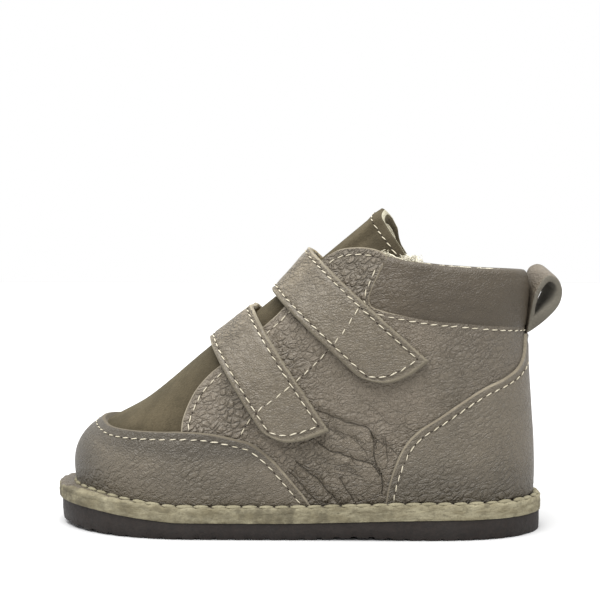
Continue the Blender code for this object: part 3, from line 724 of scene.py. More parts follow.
# %% [markdown]
# ## Thread
# A seam is a row of short, fat stitches with a needle hole between each two.  The hole is a flat dark disc,
# painted shade where the thread dives into the leather.  One stitch is a squeezed sphere of a few dozen
# faces.  An array along a curve could repeat it.  Here copies of its points are turned along the seam and
# joined into one mesh, because each stitch then gets its own small lean and size, and many separate objects
# would slow everything down.

# %% One stitch and one needle hole


def points_and_faces(bm):
    """A small shape's points and triangles, to be copied many times."""
    bmesh.ops.triangulate(bm, faces=bm.faces)
    turn_outwards(bm)
    bm.verts.index_update()
    points = np.array([v.co[:] for v in bm.verts], float)
    faces = np.array([[v.index for v in f.verts] for f in bm.faces], int)
    bm.free()
    return points, faces


def unit_ball(around, rings):
    bm = bmesh.new()
    bmesh.ops.create_uvsphere(bm, u_segments=around, v_segments=rings, radius=0.5)
    return points_and_faces(bm)


def copies(shape, centres, along, across, out, sizes):
    """Copies of one shape, each with its own three directions and sizes, as points and faces."""
    points, faces = shape
    placed = (centres[:, None, :]
              + points[None, :, 0:1] * (along * sizes[:, 0:1])[:, None, :]
              + points[None, :, 1:2] * (across * sizes[:, 1:2])[:, None, :]
              + points[None, :, 2:3] * (out * sizes[:, 2:3])[:, None, :])
    linked = faces[None, :, :] + (np.arange(len(centres)) * len(points))[:, None, None]
    return placed.reshape(-1, 3), linked.reshape(-1, 3)


stitch_ball = unit_ball(7, 6)
hole_ball = unit_ball(6, 4)
print("a stitch has", len(stitch_ball[1]), "triangles and a hole has", len(hole_ball[1]))

# %% Sewing along a line
STITCH = (2.45, 0.4, 0.4)
STITCH_PITCH = 3.4
# A needle hole is a flat dark disc: painted shade where the thread dives into the leather.
HOLE = (1.0, 0.42, 0.25)


class Thread:
    """Collects copies of small shapes, such as stitches and holes, and makes one piece of them."""

    def __init__(self):
        self.points, self.faces, self.looks, self.count = [], [], [], 0

    def take(self, shape, look):
        points, faces = shape
        self.faces.append(faces + self.count)
        self.points.append(points)
        self.looks.append(np.full(len(faces), look))
        self.count += len(points)

    def sew(self, line, normals, pitch, size, slant=0.12, seed=0, holes=True, lift=0.15):
        """Stitches along a line that lies on the leather."""
        run = run_along(line)
        count = max(1, int(round(run[-1] / pitch)))
        rng = np.random.default_rng(seed)
        middle = (np.arange(count) + 0.5) * run[-1] / count + rng.normal(0, 0.05 * pitch, count)
        reach = 0.4 * pitch
        along = unit(at_lengths(line, run, middle + reach) - at_lengths(line, run, middle - reach))
        out = at_lengths(normals, run, middle)
        across = unit(np.cross(out, along))
        lean = (slant + rng.normal(0, 0.05, count))[:, None]
        turned = along * np.cos(lean) + across * np.sin(lean)
        spread = rng.normal(1.0, 0.06, (count, 1)) * np.array([size])
        centres = at_lengths(line, run, middle) + out * lift
        self.take(copies(stitch_ball, centres, turned, np.cross(out, turned), out, spread), 0)
        if holes:
            self.pierce(line, normals, run, count)

    def pierce(self, line, normals, run, count):
        """A flat dark disc at both ends of every stitch, painted shade in the needle hole."""
        ends = np.arange(count + 1) * run[-1] / count
        out = at_lengths(normals, run, ends)
        along = unit(at_lengths(line, run, ends + 0.3) - at_lengths(line, run, ends - 0.3))
        sizes = np.tile([HOLE], (count + 1, 1))
        self.take(copies(hole_ball, at_lengths(line, run, ends), along, np.cross(out, along), out, sizes), 1)

    def piece(self, name, looks, slot):
        mesh = bpy.data.meshes.new(name)
        points = (np.vstack(self.points) + SHIFT) * MM
        mesh.from_pydata(points.tolist(), [], np.vstack(self.faces).tolist())
        mesh.polygons.foreach_set("material_index", np.concatenate(self.looks).astype(np.int32))
        mesh.update()
        return show(name, mesh, looks)


seams = Thread()
print("a stitch is", STITCH[0], "mm long, every", STITCH_PITCH, "mm")

# %% [markdown]
# ## Panel outlines
# The outlines are the boot's own edges as they show from the side, each point an x and a z in the tables'
# millimetres.  They could be traced as curves in the editor, but numbers can be shifted, lapped and
# compared.  Neighbours run a little way under each other, as lapped leather does, so no gap can open
# between them.

# %% Edges seen from the side
CAP_EDGE = ((-96.0, 37.0), (-78.0, 36.6), (-71.6, 35.3), (-66.0, 33.7), (-60.5, 32.9), (-46.8, 33.2),
            (-38.2, 33.7), (-28.9, 33.4), (-20.5, 31.8), (-15.4, 30.3), (-9.3, 25.5), (-4.2, 19.8),
            (0.9, 13.5), (4.4, 8.0))
COUNTER_EDGE = ((25.6, 8.0), (26.3, 11.9), (27.5, 18.0), (29.4, 24.0), (32.3, 30.0), (36.6, 34.8),
                (42.8, 38.9), (55.2, 47.3), (63.0, 51.0), (67.4, 54.0), (69.6, 58.0), (70.2, 64.6))
COLLAR_EDGE = ((26.6, 92.5), (25.9, 89.9), (23.8, 86.4), (22.2, 82.9), (20.0, 77.5), (20.6, 73.6),
               (24.7, 71.5), (34.8, 69.5), (41.5, 68.5), (49.3, 67.8), (70.6, 65.8), (96.0, 65.6))
QUARTER_FRONT = ((-38.7, 32.4), (-38.7, 34.4), (-38.3, 37.6), (-36.6, 42.3), (-34.0, 47.0), (-29.8, 51.6),
                 (-26.1, 54.7), (-12.3, 67.0), (-6.1, 72.9), (5.4, 87.0), (9.1, 90.1), (13.4, 91.9),
                 (19.7, 92.4), (24.5, 91.6), (27.0, 90.0))
LAP = 1.6
SEAM_IN = 2.4
PANEL_FOOT = 0.3
cap_line, counter_line, collar_line, front_line = (
    curved(edge) for edge in (CAP_EDGE, COUNTER_EDGE, COLLAR_EDGE, QUARTER_FRONT))
print("edges have", [len(line) for line in (cap_line, counter_line, collar_line, front_line)], "points")

# %% Laying the edges flat
ON_MIDDLE = 1e-3


def above_foot(flat, foot=PANEL_FOOT):
    """The stretch of a flat line above the flange, ended exactly on it."""
    kept = []
    for a, b in zip(flat[:-1], flat[1:]):
        if a[1] >= foot:
            kept.append(a)
        if (a[1] - foot) * (b[1] - foot) < 0:
            t = (foot - a[1]) / (b[1] - a[1])
            kept.append(a + t * (b - a))
    if flat[-1][1] >= foot:
        kept.append(flat[-1])
    return np.array(kept)


def both_sides(line, middle):
    """A line from the outer side round toe or heel to the inner side, laid flat."""
    halves = []
    for side in (-1, 1):
        flat = laid_flat(line, side, middle)
        met = np.abs(flat[:, 0]) < ON_MIDDLE
        reached = flat[~met]
        height = flat[met][0 if middle == "heel" else -1, 1] if met.any() else None
        if middle == "toe":
            reached = reached[::-1]
        if height is not None:
            reached = np.vstack([reached, [(0.0, height)]])
        halves.append(reached)
    inner = halves[1][::-1]
    if abs(inner[0, 0]) < ON_MIDDLE:
        inner = inner[1:]
    return np.vstack([halves[0], inner])


cap_flat = above_foot(both_sides(cap_line, "toe"))
counter_flat = above_foot(both_sides(counter_line, "heel"))
collar_flat = both_sides(collar_line, "heel")
print("toe cap, counter and collar laid flat:", len(cap_flat), len(counter_flat), len(collar_flat), "points")

# %% [markdown]
# ## Creases and gathers
# Walking folded this hide between the lower strap and the counter, and lasting gathered it where it turns
# out onto the sole.  Noise alone would scatter creases everywhere, so the folds are listed as lines seen
# from the side, each with a depth.  They press a soft trough with a low ridge beside it into the
# sheet.

# %% Listed folds
FOLDS = (
    (1.0, ((4.9, 41.2), (12.2, 38.3), (15.7, 37.1), (21.1, 35.5), (22.6, 32.4), (23.3, 29.3))),
    (1.3, ((4.7, 31.3), (8.5, 28.8), (12.9, 27.3), (18.3, 25.4), (22.3, 24.2), (24.8, 20.6))),
    (1.2, ((-1.5, 25.0), (1.9, 21.6), (5.1, 19.3), (7.9, 15.9), (11.0, 12.6))),
    (0.9, ((12.2, 19.4), (13.9, 16.6), (16.2, 12.7))),
    (1.0, ((22.5, 33.4), (23.0, 25.8), (25.0, 21.0), (25.3, 14.9))),
    (0.7, ((26.4, 32.6), (27.0, 25.9))),
    (0.6, ((11.0, 22.5), (14.2, 21.8), (18.6, 20.4))),
    (1.0, ((-4.0, 21.6), (-0.6, 18.3), (1.6, 14.9), (4.1, 13.0))),
    (0.5, ((15.0, 33.5), (18.0, 30.6), (20.6, 27.0))),
    (0.5, ((2.0, 37.6), (8.0, 35.4), (13.0, 32.6))),
    (0.3, ((19.4, 44.1), (23.0, 41.7), (25.4, 38.7), (28.4, 36.3))),
    (0.8, ((22.4, 33.3), (25.4, 30.8), (27.8, 29.1), (29.6, 27.9))),
    (0.5, ((11.0, 34.5), (14.6, 33.3), (18.2, 31.8))),
    (0.4, ((15.8, 26.1), (13.4, 21.8), (12.5, 19.8))),
    (0.4, ((9.2, 39.3), (7.4, 34.5), (6.8, 30.9))),
    (0.5, ((6.5, 24.6), (11.0, 23.8), (16.5, 22.6))),
)
print("folds:", len(FOLDS))

# %% Pressing folds and gathers
FOLD_DEEP, FOLD_WIDE = 0.34, 0.8
FOLD_WANDER, FOLD_SHOWS, FOLD_FAR = 0.55, 1.1, 4.0


def rough_at(points, scale, seed=0.0):
    """Smooth noise at points in millimetres."""
    return np.array([noise.noise(Vector((p[0] * scale + seed, p[1] * scale - seed, p[2] * scale)))
                     for p in points])


def beside(points, line):
    """Distances from a line, positive on one side of it and negative on the other."""
    first, along = line[:-1], np.diff(line, axis=0)
    gap = points[:, None, :] - first[None, :, :]
    share = np.clip(np.sum(gap * along, axis=2) / np.sum(along ** 2, axis=1), 0.0, 1.0)
    away = np.linalg.norm(gap - share[:, :, None] * along, axis=2)
    nearest = away.argmin(axis=1)
    each = np.arange(len(points))
    turn = along[nearest, 0] * gap[each, nearest, 1] - along[nearest, 1] * gap[each, nearest, 0]
    return away[each, nearest] * np.where(turn < 0, -1, 1)


def fold_marks(points, scale):
    """How deep the folds press into the skin, on which side of the nearest fold a point is, and how near."""
    wander = np.column_stack([rough_at(points, 0.33, 2.0), rough_at(points, 0.33, 17.0)])
    seen = points[:, [0, 2]] + FOLD_WANDER * wander
    press, nearest, near = np.zeros(len(points)), np.full(len(points), 9.0), np.zeros(len(points))
    for depth, line in FOLDS:
        d = beside(seen, curved(line))
        trough = np.exp(-(d / FOLD_WIDE) ** 2)
        ridge = np.exp(-((np.abs(d) - 2.2 * FOLD_WIDE) / (1.2 * FOLD_WIDE)) ** 2)
        press = press + scale * depth * FOLD_DEEP * (trough - 0.4 * ridge)
        closer = np.abs(d) < np.abs(nearest)
        # `fold_near` also paints a thin dark line of shade along each fold.
        near = np.where(closer, scale * depth * np.exp(-(d / FOLD_SHOWS) ** 2), near)
        nearest = np.where(closer, d, nearest)
    return press, {"fold_side": np.clip(nearest, -FOLD_FAR, FOLD_FAR), "fold_near": near}


def gathers(points, up, reach, wave, seed, lean=0.8):
    """Little slanted tucks along the flange that die out upwards."""
    slant = points[:, 0] + lean * points[:, 2] + 0.35 * points[:, 1]
    drift = 3.0 * rough_at(points, 0.09, seed)
    ripple = np.sin(2 * np.pi * (slant + drift) / wave)
    share = np.clip(1 - up / reach, 0.0, 1.0) ** 1.5
    return ripple * share * (0.55 + 0.6 * rough_at(points, 0.16, seed + 7))


print("the deepest fold is", FOLD_DEEP * max(depth for depth, line in FOLDS), "mm deep")

# %% [markdown]
# ## Pulling a sheet over the last
# A shoemaker wets a panel and pulls it over the last with pincers.  Here each vertex of the flat sheet
# moves to its place on the skin, and then out along the skin's own direction by the panel's thickness and
# relief.  A Shrinkwrap modifier could do the pulling, but it stretches the pattern and knows nothing of
# seams.  Along a seam the leather dips, where the thread pulls it down.

# %% Pulling a cut sheet over the last
SEAT, BACK_SUNK = 0.3, -0.2
EDGE_STAND = 0.72
SEAM_DIP, DIP_WIDE = 0.28, 0.75
SEAM_STEP = 0.8


def edge_profile(d, thick):
    """Height of a panel's face by distance from its cut edge, which is bevelled."""
    return thick * (EDGE_STAND + (1 - EDGE_STAND) * np.clip(d / CUT_EDGE, 0.0, 1.0) ** 0.8)


def panel(name, outline, middle, cell, thick, nodes, relief, looks, seam_edge, grain, worn, tone_and_shade):
    """A leather panel: cut flat, pulled over the last, with its own relief and painted values."""
    bm = cut_sheet(outline, cell)
    flat = flat_points(bm)
    face = flat[:, 2] > 0.5
    skin_points = pulled_over(flat, middle)
    d = from_line(flat, np.vstack([outline, outline[:1]]))
    bump, crease_shade, more = relief(skin_points, flat)
    dip = SEAM_DIP * np.exp(-((from_line(flat, seam_edge) - SEAM_IN) / DIP_WIDE) ** 2)
    lift = np.where(face, SEAT + edge_profile(d, thick) - dip + bump * ease(d / 1.5), BACK_SUNK)
    place(bm, skin_points + normal_at(skin_points) * lift[:, None])
    marks = {"grain": grain(skin_points, flat), "crease_shade": np.clip(crease_shade, 0, 1) * face,
             "worn": worn(skin_points), "tone_and_shade": tone_and_shade(skin_points, flat), **more}
    keep_piece(name, bm, looks, nodes, marks)


def seam_on(flat_line, middle, lift, seed):
    """Stitches along a flat line on a panel."""
    points = pulled_over(spaced(flat_line, SEAM_STEP), middle)
    out = normal_at(points)
    seams.sew(points + out * lift, out, STITCH_PITCH, STITCH, seed=seed)


print("seams lie", SEAM_IN, "mm from the edges")

# %% [markdown]
# ## Toe cap
# The toe cap is a leather guard round the toe, sewn over the vamp and the quarters.  It is one panel from
# side to side, because no seam shows at the tip.  It was pulled hardest there, so the front is
# smooth and dark, and the sides keep their grain and small slanted gathers above the sole.

# %% Toe cap
CAP_THICK = 2.1
CAP_CELL = 0.7
CAP_SUNK = 0.25
SEAM_FOOT = 1.0


def cap_relief(points, flat):
    tucks = gathers(points, flat[:, 1], reach=19.0, wave=3.6, seed=3.0, lean=-1.5)
    bump = 0.3 * tucks * ease((points[:, 0] + 76.0) / 10.0)
    bump = bump + 0.3 * rough_at(points, 0.055, seed=11.0)
    # The second value is painted shade: it darkens the troughs of the tucks.
    return bump, np.clip(-bump - 0.12, 0, 1) * 1.6, {}


def cap_grain(points, flat):
    low = 1 - ease((flat[:, 1] - 8.0) / 14.0)
    side = ease((points[:, 0] + 77.0) / 9.0) * (1 - 0.7 * ease((points[:, 0] + 42.0) / 22.0))
    return 0.1 + 0.6 * side * (0.35 + 0.65 * low)


def cap_tone(points, flat):
    """The front of the toe is darker, where the hide is stretched smooth."""
    return 0.9 * np.maximum(ease((-points[:, 0] - 60.0) / 14.0), ease((flat[:, 1] - 12.0) / 6.0))


def low_worn(points):
    """Fine wrinkles low on cap and counter, where the hide was pulled onto the last."""
    up = points[:, 2] - flange_top(points[:, 0])
    return 0.55 * (1 - ease((up - 3.0) / 11.0))


panel("toe_cap_leather", cap_flat, "toe", CAP_CELL, CAP_THICK, ["toe_cap"], cap_relief,
      [leather_cap, cut_edge, cut_edge], cap_flat, cap_grain, low_worn, cap_tone)
cap_seam = above_foot(both_sides(moved_left(cap_line, -SEAM_IN), "toe"), SEAM_FOOT)
seam_on(cap_seam, "toe", SEAT + CAP_THICK - CAP_SUNK, 1)

# %% [markdown]
# ## Heel counter
# The counter stiffens the heel and ends in a narrow strip up the back seam.  Like the cap it is one panel,
# here wrapped round the heel, so the same function makes it with other relief.  Its gathers are shorter and
# finer, and each side gets a seam of its own, because the thread stops at the back seam.

# %% Heel counter
COUNTER_CELL = 0.75


def counter_relief(points, flat):
    bump = 0.22 * gathers(points, flat[:, 1], reach=10.0, wave=2.3, seed=9.0)
    bump = bump + 0.35 * rough_at(points, 0.05, seed=21.0)
    # The second value is painted shade: it darkens the troughs of the gathers.
    return bump, np.clip(-bump - 0.12, 0, 1) * 1.4, {}


def counter_grain(points, flat):
    return np.clip(0.34 + 0.4 * (1 - ease((flat[:, 1] - 4.0) / 14.0)), 0, 1)


# Painted shade: the counter darkens low down by the flange.
def counter_shade(points, flat):
    return 0.4 * (1 - ease((flat[:, 1] - 6.0) / 12.0))


panel("heel_counter_leather", counter_flat, "heel", COUNTER_CELL, CAP_THICK, ["heel_counter"],
      counter_relief, [leather_cap, cut_edge, cut_edge], counter_flat, counter_grain, low_worn, counter_shade)
counter_seam = above_foot(both_sides(moved_left(counter_line, -SEAM_IN)[:-2], "heel"), SEAM_FOOT)
for part, seed in ((counter_seam[counter_seam[:, 0] < 0], 2), (counter_seam[counter_seam[:, 0] > 0], 3)):
    seam_on(part, "heel", SEAT + CAP_THICK - CAP_SUNK, seed)

# %% [markdown]
# ## Quarters
# The quarters are the two side panels, from the rounded front corner by the straps back to the counter and
# the collar.  Outer and inner one share an outline, so a loop makes both, and only the folds of the inner
# one are softer.  Here the listed folds are pressed in, and a thin line of painted shade darkens the leather
# where it runs under the cap and the counter.

# %% Pattern of the quarters
QUARTER_THICK = 1.2
under_collar = moved_left(collar_line, LAP)
under_counter = moved_left(counter_line, -LAP)
under_cap = moved_left(cap_line, -LAP)
quarter_outline = np.vstack([
    front_line,
    under_collar[(under_collar[:, 0] < 69.0) & (under_collar[:, 1] < 89.0)],
    [(71.4, 67.2)],
    under_counter[::-1],
    [(26.0, 6.0), (3.0, 6.0)],
    under_cap[::-1][under_cap[::-1, 0] > -38.2],
])
print("a quarter's outline has", len(quarter_outline), "points")

# %% Relief and grain of the quarters
INNER_FOLDS = 0.7


def quarter_relief_for(side):
    scale = 1.0 if side < 0 else INNER_FOLDS

    def relief(points, flat):
        press, marks = fold_marks(points, scale)
        laps = np.minimum(from_line(points[:, [0, 2]], cap_line), from_line(points[:, [0, 2]], counter_line))
        soft = 0.4 * rough_at(points, 0.07, 31.0 + side) + 0.2 * rough_at(points, 0.18, 5.0)
        worked = ease((points[:, 0] + 2.0) / 10.0) * (1 - ease((points[:, 2] - 44.0) / 10.0))
        tucks = 0.25 * gathers(points, flat[:, 1], reach=8.0, wave=2.4, seed=15.0)
        bump = soft * (0.35 + 0.65 * worked) + tucks - press
        # The second value is painted shade: a thin dark line along the edges of the cap and the counter.
        return bump, np.exp(-(laps / 0.6) ** 2), marks

    return relief


def quarter_grain(points, flat):
    front = 1 - ease((points[:, 0] + 2.0) / 20.0)
    wing = ease((points[:, 2] - 70.0) / 8.0) * (1 - ease((points[:, 0] - 22.0) / 6.0))
    return np.clip(0.38 + 0.62 * front + 0.62 * wing, 0, 1)


# Painted shade: the quarter darkens low down by the flange and towards the heel.
def quarter_shade(points, flat):
    low = 0.3 * (1 - ease((flat[:, 1] - 2.0) / 7.0))
    return low + 0.42 * ease((points[:, 0] - 36.0) / 14.0)


def quarter_worn(points):
    """Wrinkles between the lower strap and the counter, thinning out upwards."""
    along = ease((points[:, 0] + 8.0) / 12.0) * (1 - ease((points[:, 0] - 34.0) / 10.0))
    return along * (1 - 0.85 * ease((points[:, 2] - 34.0) / 18.0))


print("the inner quarter's folds are", INNER_FOLDS, "times as deep")

# %% Quarters
QUARTER_SUNK = 0.2
OUTER_CELL, INNER_CELL = 0.55, 0.8
BACK_SEAM_GAP = 0.2
for side, name in ((-1, "quarter_lateral"), (1, "quarter_medial")):
    flat_outline = laid_flat(quarter_outline, side, "heel")
    flat_outline[:, 1] = np.maximum(flat_outline[:, 1], PANEL_FOOT)
    flat_outline[:, 0] = side * np.maximum(np.abs(flat_outline[:, 0]), BACK_SEAM_GAP)
    flat_front = laid_flat(front_line[6:], side, "heel")
    panel(name + "_leather", flat_outline, "heel", OUTER_CELL if side < 0 else INNER_CELL, QUARTER_THICK,
          [name], quarter_relief_for(side), [leather_taupe, cut_edge, cut_edge], flat_front, quarter_grain,
          quarter_worn, quarter_shade)
    front_seam = laid_flat(moved_left(front_line, -SEAM_IN)[3:-8], side, "heel")
    seam_on(front_seam, "heel", SEAT + QUARTER_THICK - QUARTER_SUNK, 4 + side)

# %% [markdown]
# ## Patch seam
# Behind the straps the outer quarter carries the other half of the hook-and-loop fastening.  The patch
# itself lies under the straps, so only the thread that holds it shows, as one slanting row.  It is sewn on
# the leather like every other seam.

# %% Patch seam
PATCH_SEAM = ((18.2, 73.2), (14.5, 67.5), (10.4, 62.4), (4.1, 55.8), (-1.9, 50.3), (-7.0, 45.9),
              (-13.0, 41.4), (-16.9, 37.6), (-19.7, 32.9))
patch_line = curved(PATCH_SEAM)
seam_on(laid_flat(patch_line, -1, "heel"), "heel", SEAT + QUARTER_THICK, 8)
print("the patch seam is", round(run_along(patch_line)[-1]), "mm long")

# %% [markdown]
# ## Collar
# The cuff is one padded band of smooth hide round the ankle.  It swells between its lower seam and its top,
# and at the top it rolls over onto the fleece.  A bevel on a plain band would roll it too, but evenly.
# Here the flat sheet above the top edge is wound round a small circle, so the roll follows the collar's dip
# and rise.

# %% Pattern of the collar
ROLL = 1.7
ROLL_LENGTH = 5.0
ROLL_BELOW = 1.3
RIM_FRONT, RIM_BACK, RIM_POINTS = 26.4, 69.0, 44
BACK_SEAM_X = 70.0
rim_x = np.linspace(RIM_FRONT, RIM_BACK, RIM_POINTS)
rim_line = np.column_stack([rim_x, collar_of(rim_x) - ROLL_BELOW])
rim_back = float(collar_of(BACK_SEAM_X) - ROLL_BELOW - flange_top(BACK_SEAM_X))
rim_outer, rim_inner = (laid_flat(rim_line, side, "heel") for side in (-1, 1))
rim_flat = np.vstack([rim_outer, [(0.0, rim_back)], rim_inner[::-1]])
rim_up = through(rim_flat[:, 0], rim_flat[:, 1])
collar_low = collar_flat[collar_flat[:, 1] < rim_up(collar_flat[:, 0]) - 0.3]
collar_outline = np.vstack([collar_low, rim_flat[::-1] + (0.0, ROLL_LENGTH)])
print("the collar's outline has", len(collar_outline), "points")

# %% Collar
COLLAR_CELL = 0.8
COLLAR_THICK = 1.1
PAD, PAD_LENGTH = 1.2, 19.0
bm = cut_sheet(collar_outline, COLLAR_CELL)
flat = flat_points(bm)
face = flat[:, 2] > 0.5
top_up = rim_up(flat[:, 0])
over = np.maximum(flat[:, 1] - top_up, 0.0)
skin_points = pulled_over(np.column_stack([flat[:, 0], np.minimum(flat[:, 1], top_up)]), "heel")
out = normal_at(skin_points)
edge = from_line(flat, collar_low)
collar_x = skin_points[:, 0]
swell = np.sin(np.pi * np.clip(edge / PAD_LENGTH, 0, 1)) * PAD * ease((collar_x - 24.0) / 14.0)
wrinkle = 0.28 * rough_at(skin_points, 0.1, 41.0) + 0.14 * rough_at(skin_points * (1, 1, 2.2), 0.3, 43.0)
top = SEAT + QUARTER_THICK * (0.55 + 0.45 * ease(edge / 2.2)) + swell + wrinkle * ease(edge / 2.5)
top = top + ease((collar_x - 58.0) / 10.0) * ease((edge - 6.0) / 10.0)
lift = np.where(face, top, top - COLLAR_THICK)
radius = np.where(face, ROLL, ROLL - COLLAR_THICK)
level = unit(out * (1, 1, 0))
rolled = skin_points + level * (top - ROLL + radius * np.cos(over / ROLL))[:, None]
rolled[:, 2] += radius * np.sin(over / ROLL)
place(bm, np.where((over > 0)[:, None], rolled, skin_points + out * lift[:, None]))
for collar_face in bm.faces:
    collar_face.material_index = FACE_LOOK
# Painted shade: `tone_and_shade` darkens the collar towards the back, and `crease_shade` darkens the hollows
# of its wrinkles.
collar = keep_piece("collar_leather", bm, [leather_smooth], ["collar"],
                    {"grain": 0.16 + 0.34 * (1 - ease((collar_x - 28.0) / 20.0)),
                     "tone_and_shade": 0.36 * ease((collar_x - 28.0) / 12.0),
                     "crease_shade": np.clip(-wrinkle - 0.16, 0, 1) * 1.2 * face})
seam_on(collar_low[3:-3], "heel", SEAT + QUARTER_THICK - 0.1, 12)

# %% [markdown]
# ## Sheets of rows and columns
# Pieces that aren't cut from a flat pattern, such as the vamp, the straps and the rubber, start as a grid.
# A function then says where each vertex goes, from its shares along both sides.  Lofting curves would do
# much the same, but a function can bend, taper and wrinkle the sheet in one go.  The shares stay on the
# vertices, so a face can later be found by its row.

# %% Sheets of rows and columns


def grid(columns, rows, place_at):
    """A sheet of columns by rows: place_at turns shares along both into points in the tables' millimetres."""
    bm = bmesh.new()
    bmesh.ops.create_grid(bm, x_segments=columns, y_segments=rows, size=0.5)
    shares = np.array([v.co[:2] for v in bm.verts], float) + 0.5
    column, row = bm.verts.layers.float.new("column"), bm.verts.layers.float.new("row")
    for v, (a, b) in zip(bm.verts, shares):
        v[column], v[row] = a, b
    place(bm, place_at(shares[:, 0], shares[:, 1]))
    return bm


def face_shares(bm, name):
    """Mean shares of a grid's faces along its columns or rows."""
    layer = bm.verts.layers.float[name]
    return np.array([sum(v[layer] for v in face.verts) / len(face.verts) for face in bm.faces])


def closed(bm, gap):
    """Welds the edges that meet, fills what is still open, and turns the faces outwards."""
    bmesh.ops.remove_doubles(bm, verts=bm.verts, dist=gap)
    open_edges = [e for e in bm.edges if e.is_boundary]
    bmesh.ops.holes_fill(bm, edges=open_edges, sides=0)
    bmesh.ops.recalc_face_normals(bm, faces=bm.faces)


# %% [markdown]
# ## Vamp
# The suede over the toes is nearly level, so it is laid out from above: each row crosses the foot at one x,
# and the last's own formula gives its height.  A flat pattern pulled over the toe would crowd its rows
# there.  The suede runs under the toe cap, the quarters and the lower strap.

# %% Vamp
VAMP_THICK, VAMP_SEAT = 1.1, 0.25
VAMP_REAR = -20.0
VAMP_COLUMNS, VAMP_ROWS = 110, 90
UNDER = 3.2
QUARTER_CORNER = -39.0


def vamp_half(x):
    """Share of the half width that the suede covers at x."""
    cap_z = np.interp(x, cap_line[:, 0], cap_line[:, 1])
    front_z = np.interp(x, front_line[:, 0], front_line[:, 1]) - 4.0 * ease((x - QUARTER_CORNER) / 8.0)
    up = np.where(x < QUARTER_CORNER, cap_z, front_z) - UNDER - flange_top(x)
    height, power = crown_at(x)
    return np.sqrt(np.maximum(0.0, 1 - toe_closing(x, TOE_X) - (np.maximum(up, 0.0) / height) ** power))


def vamp_at(a, b):
    x = vamp_front + (VAMP_REAR - vamp_front) * a
    across = (2 * b - 1) * vamp_half(x)
    height, power = crown_at(x)
    up = height * np.maximum(0.0, 1 - toe_closing(x, TOE_X) - across ** 2) ** (1 / power)
    side = np.where(across < 0, -1, 1)
    return np.column_stack([x, spine_of(x) + across * width_at(x, up, side), flange_top(x) + up])


vamp_front = float(halved(np.array(-78.0), np.array(-60.0), lambda x: vamp_half(x) > 0.02))
bm = grid(VAMP_COLUMNS, VAMP_ROWS, vamp_at)
points = vertex_points(bm)
soft = 0.25 * rough_at(points, 0.06, 51.0)
place(bm, points + normal_at(points) * (VAMP_SEAT + soft)[:, None])
bmesh.ops.remove_doubles(bm, verts=bm.verts, dist=1e-6)
bmesh.ops.recalc_face_normals(bm, faces=bm.faces)
bmesh.ops.solidify(bm, geom=bm.faces[:], thickness=VAMP_THICK * MM)
# Painted shade: `tone_and_shade` darkens the suede towards the back, where the lower strap and the quarters
# shade it.
keep_piece("vamp_suede", bm, [suede], ["upper"],
           {"tone_and_shade": 0.45 * ease((vertex_points(bm)[:, 0] + 46.0) / 16.0)})

# %% [markdown]
# ## Tongue
# The tongue is suede outside and fleece inside.  It follows the ridge of the instep, rises above the collar
# as a rounded flap, and is sewn once round its free edge.  Two sheets could be joined along their edges,
# but one sheet that runs up the suede, over the edge and down the fleece has no join that could open.

# %% Shape of the tongue
TONGUE_THICK = 3.0
TONGUE_FOOT = 44.0
TONGUE_HALF = ((44.0, 21.0), (60.0, 20.0), (71.0, 25.0), (80.0, 37.0), (100.0, 38.0))
TONGUE_TOP_Z, TONGUE_SIDE_Z, TONGUE_DROOP = 106.2, 90.8, 1.2
tongue_half_of = table_line(TONGUE_HALF)
RIM_FROM, RIM_HIGH = 0.46, 0.8
WOOL_PILE = 1.6
FAR_BOW, FAR_WIDE = 3.2, 19.0


def tongue_skin(level, share):
    top_z = TONGUE_TOP_Z + (TONGUE_SIDE_Z - TONGUE_TOP_Z) * np.abs(share) ** TONGUE_DROOP
    up = TONGUE_FOOT + (top_z - BASE_Z - 0.6 - TONGUE_FOOT) * level
    length = share * tongue_half_of(up)
    points = pulled_over(np.column_stack([length, up]), "toe")
    bow = np.sin(np.pi * np.clip(points[:, 1] / FAR_WIDE, 0.0, 1.0)) * ease((level - 0.6) / 0.4)
    points[:, 0] += FAR_BOW * bow
    edge = throat_of(up)
    shown = ease((up - 52.0) / 6.0) * (1 - ease((np.abs(length) / edge - 1.1) / 0.5))
    return points, normal_at(points), 2.35 - 1.95 * shown


def tongue_at(a, b):
    """b runs up the suede, over the top edge and down the fleece."""
    over = np.clip((b - RIM_FROM) / (1 - 2 * RIM_FROM), 0.0, 1.0)
    level = np.minimum(b, 1 - b) / RIM_FROM
    points, out, depth = tongue_skin(np.minimum(level, 1.0), 2 * a - 1)
    puff = 0.3 * np.sin(np.pi * np.clip((1 - level) * 14.0, 0, 1)) * (over == 0)
    wool = 0.5 * rough_at(points, 0.55, 61.0) * (over == 1) * ease((1 - level) / 0.05)
    pile = WOOL_PILE * ease((level - 0.62) / 0.3)
    placed = points - out * (depth - puff + (TONGUE_THICK + pile + wool) * over)[:, None]
    placed[:, 2] += RIM_HIGH * np.sin(np.pi * over)
    return placed


print("the tongue rises to", TONGUE_TOP_Z, "mm")

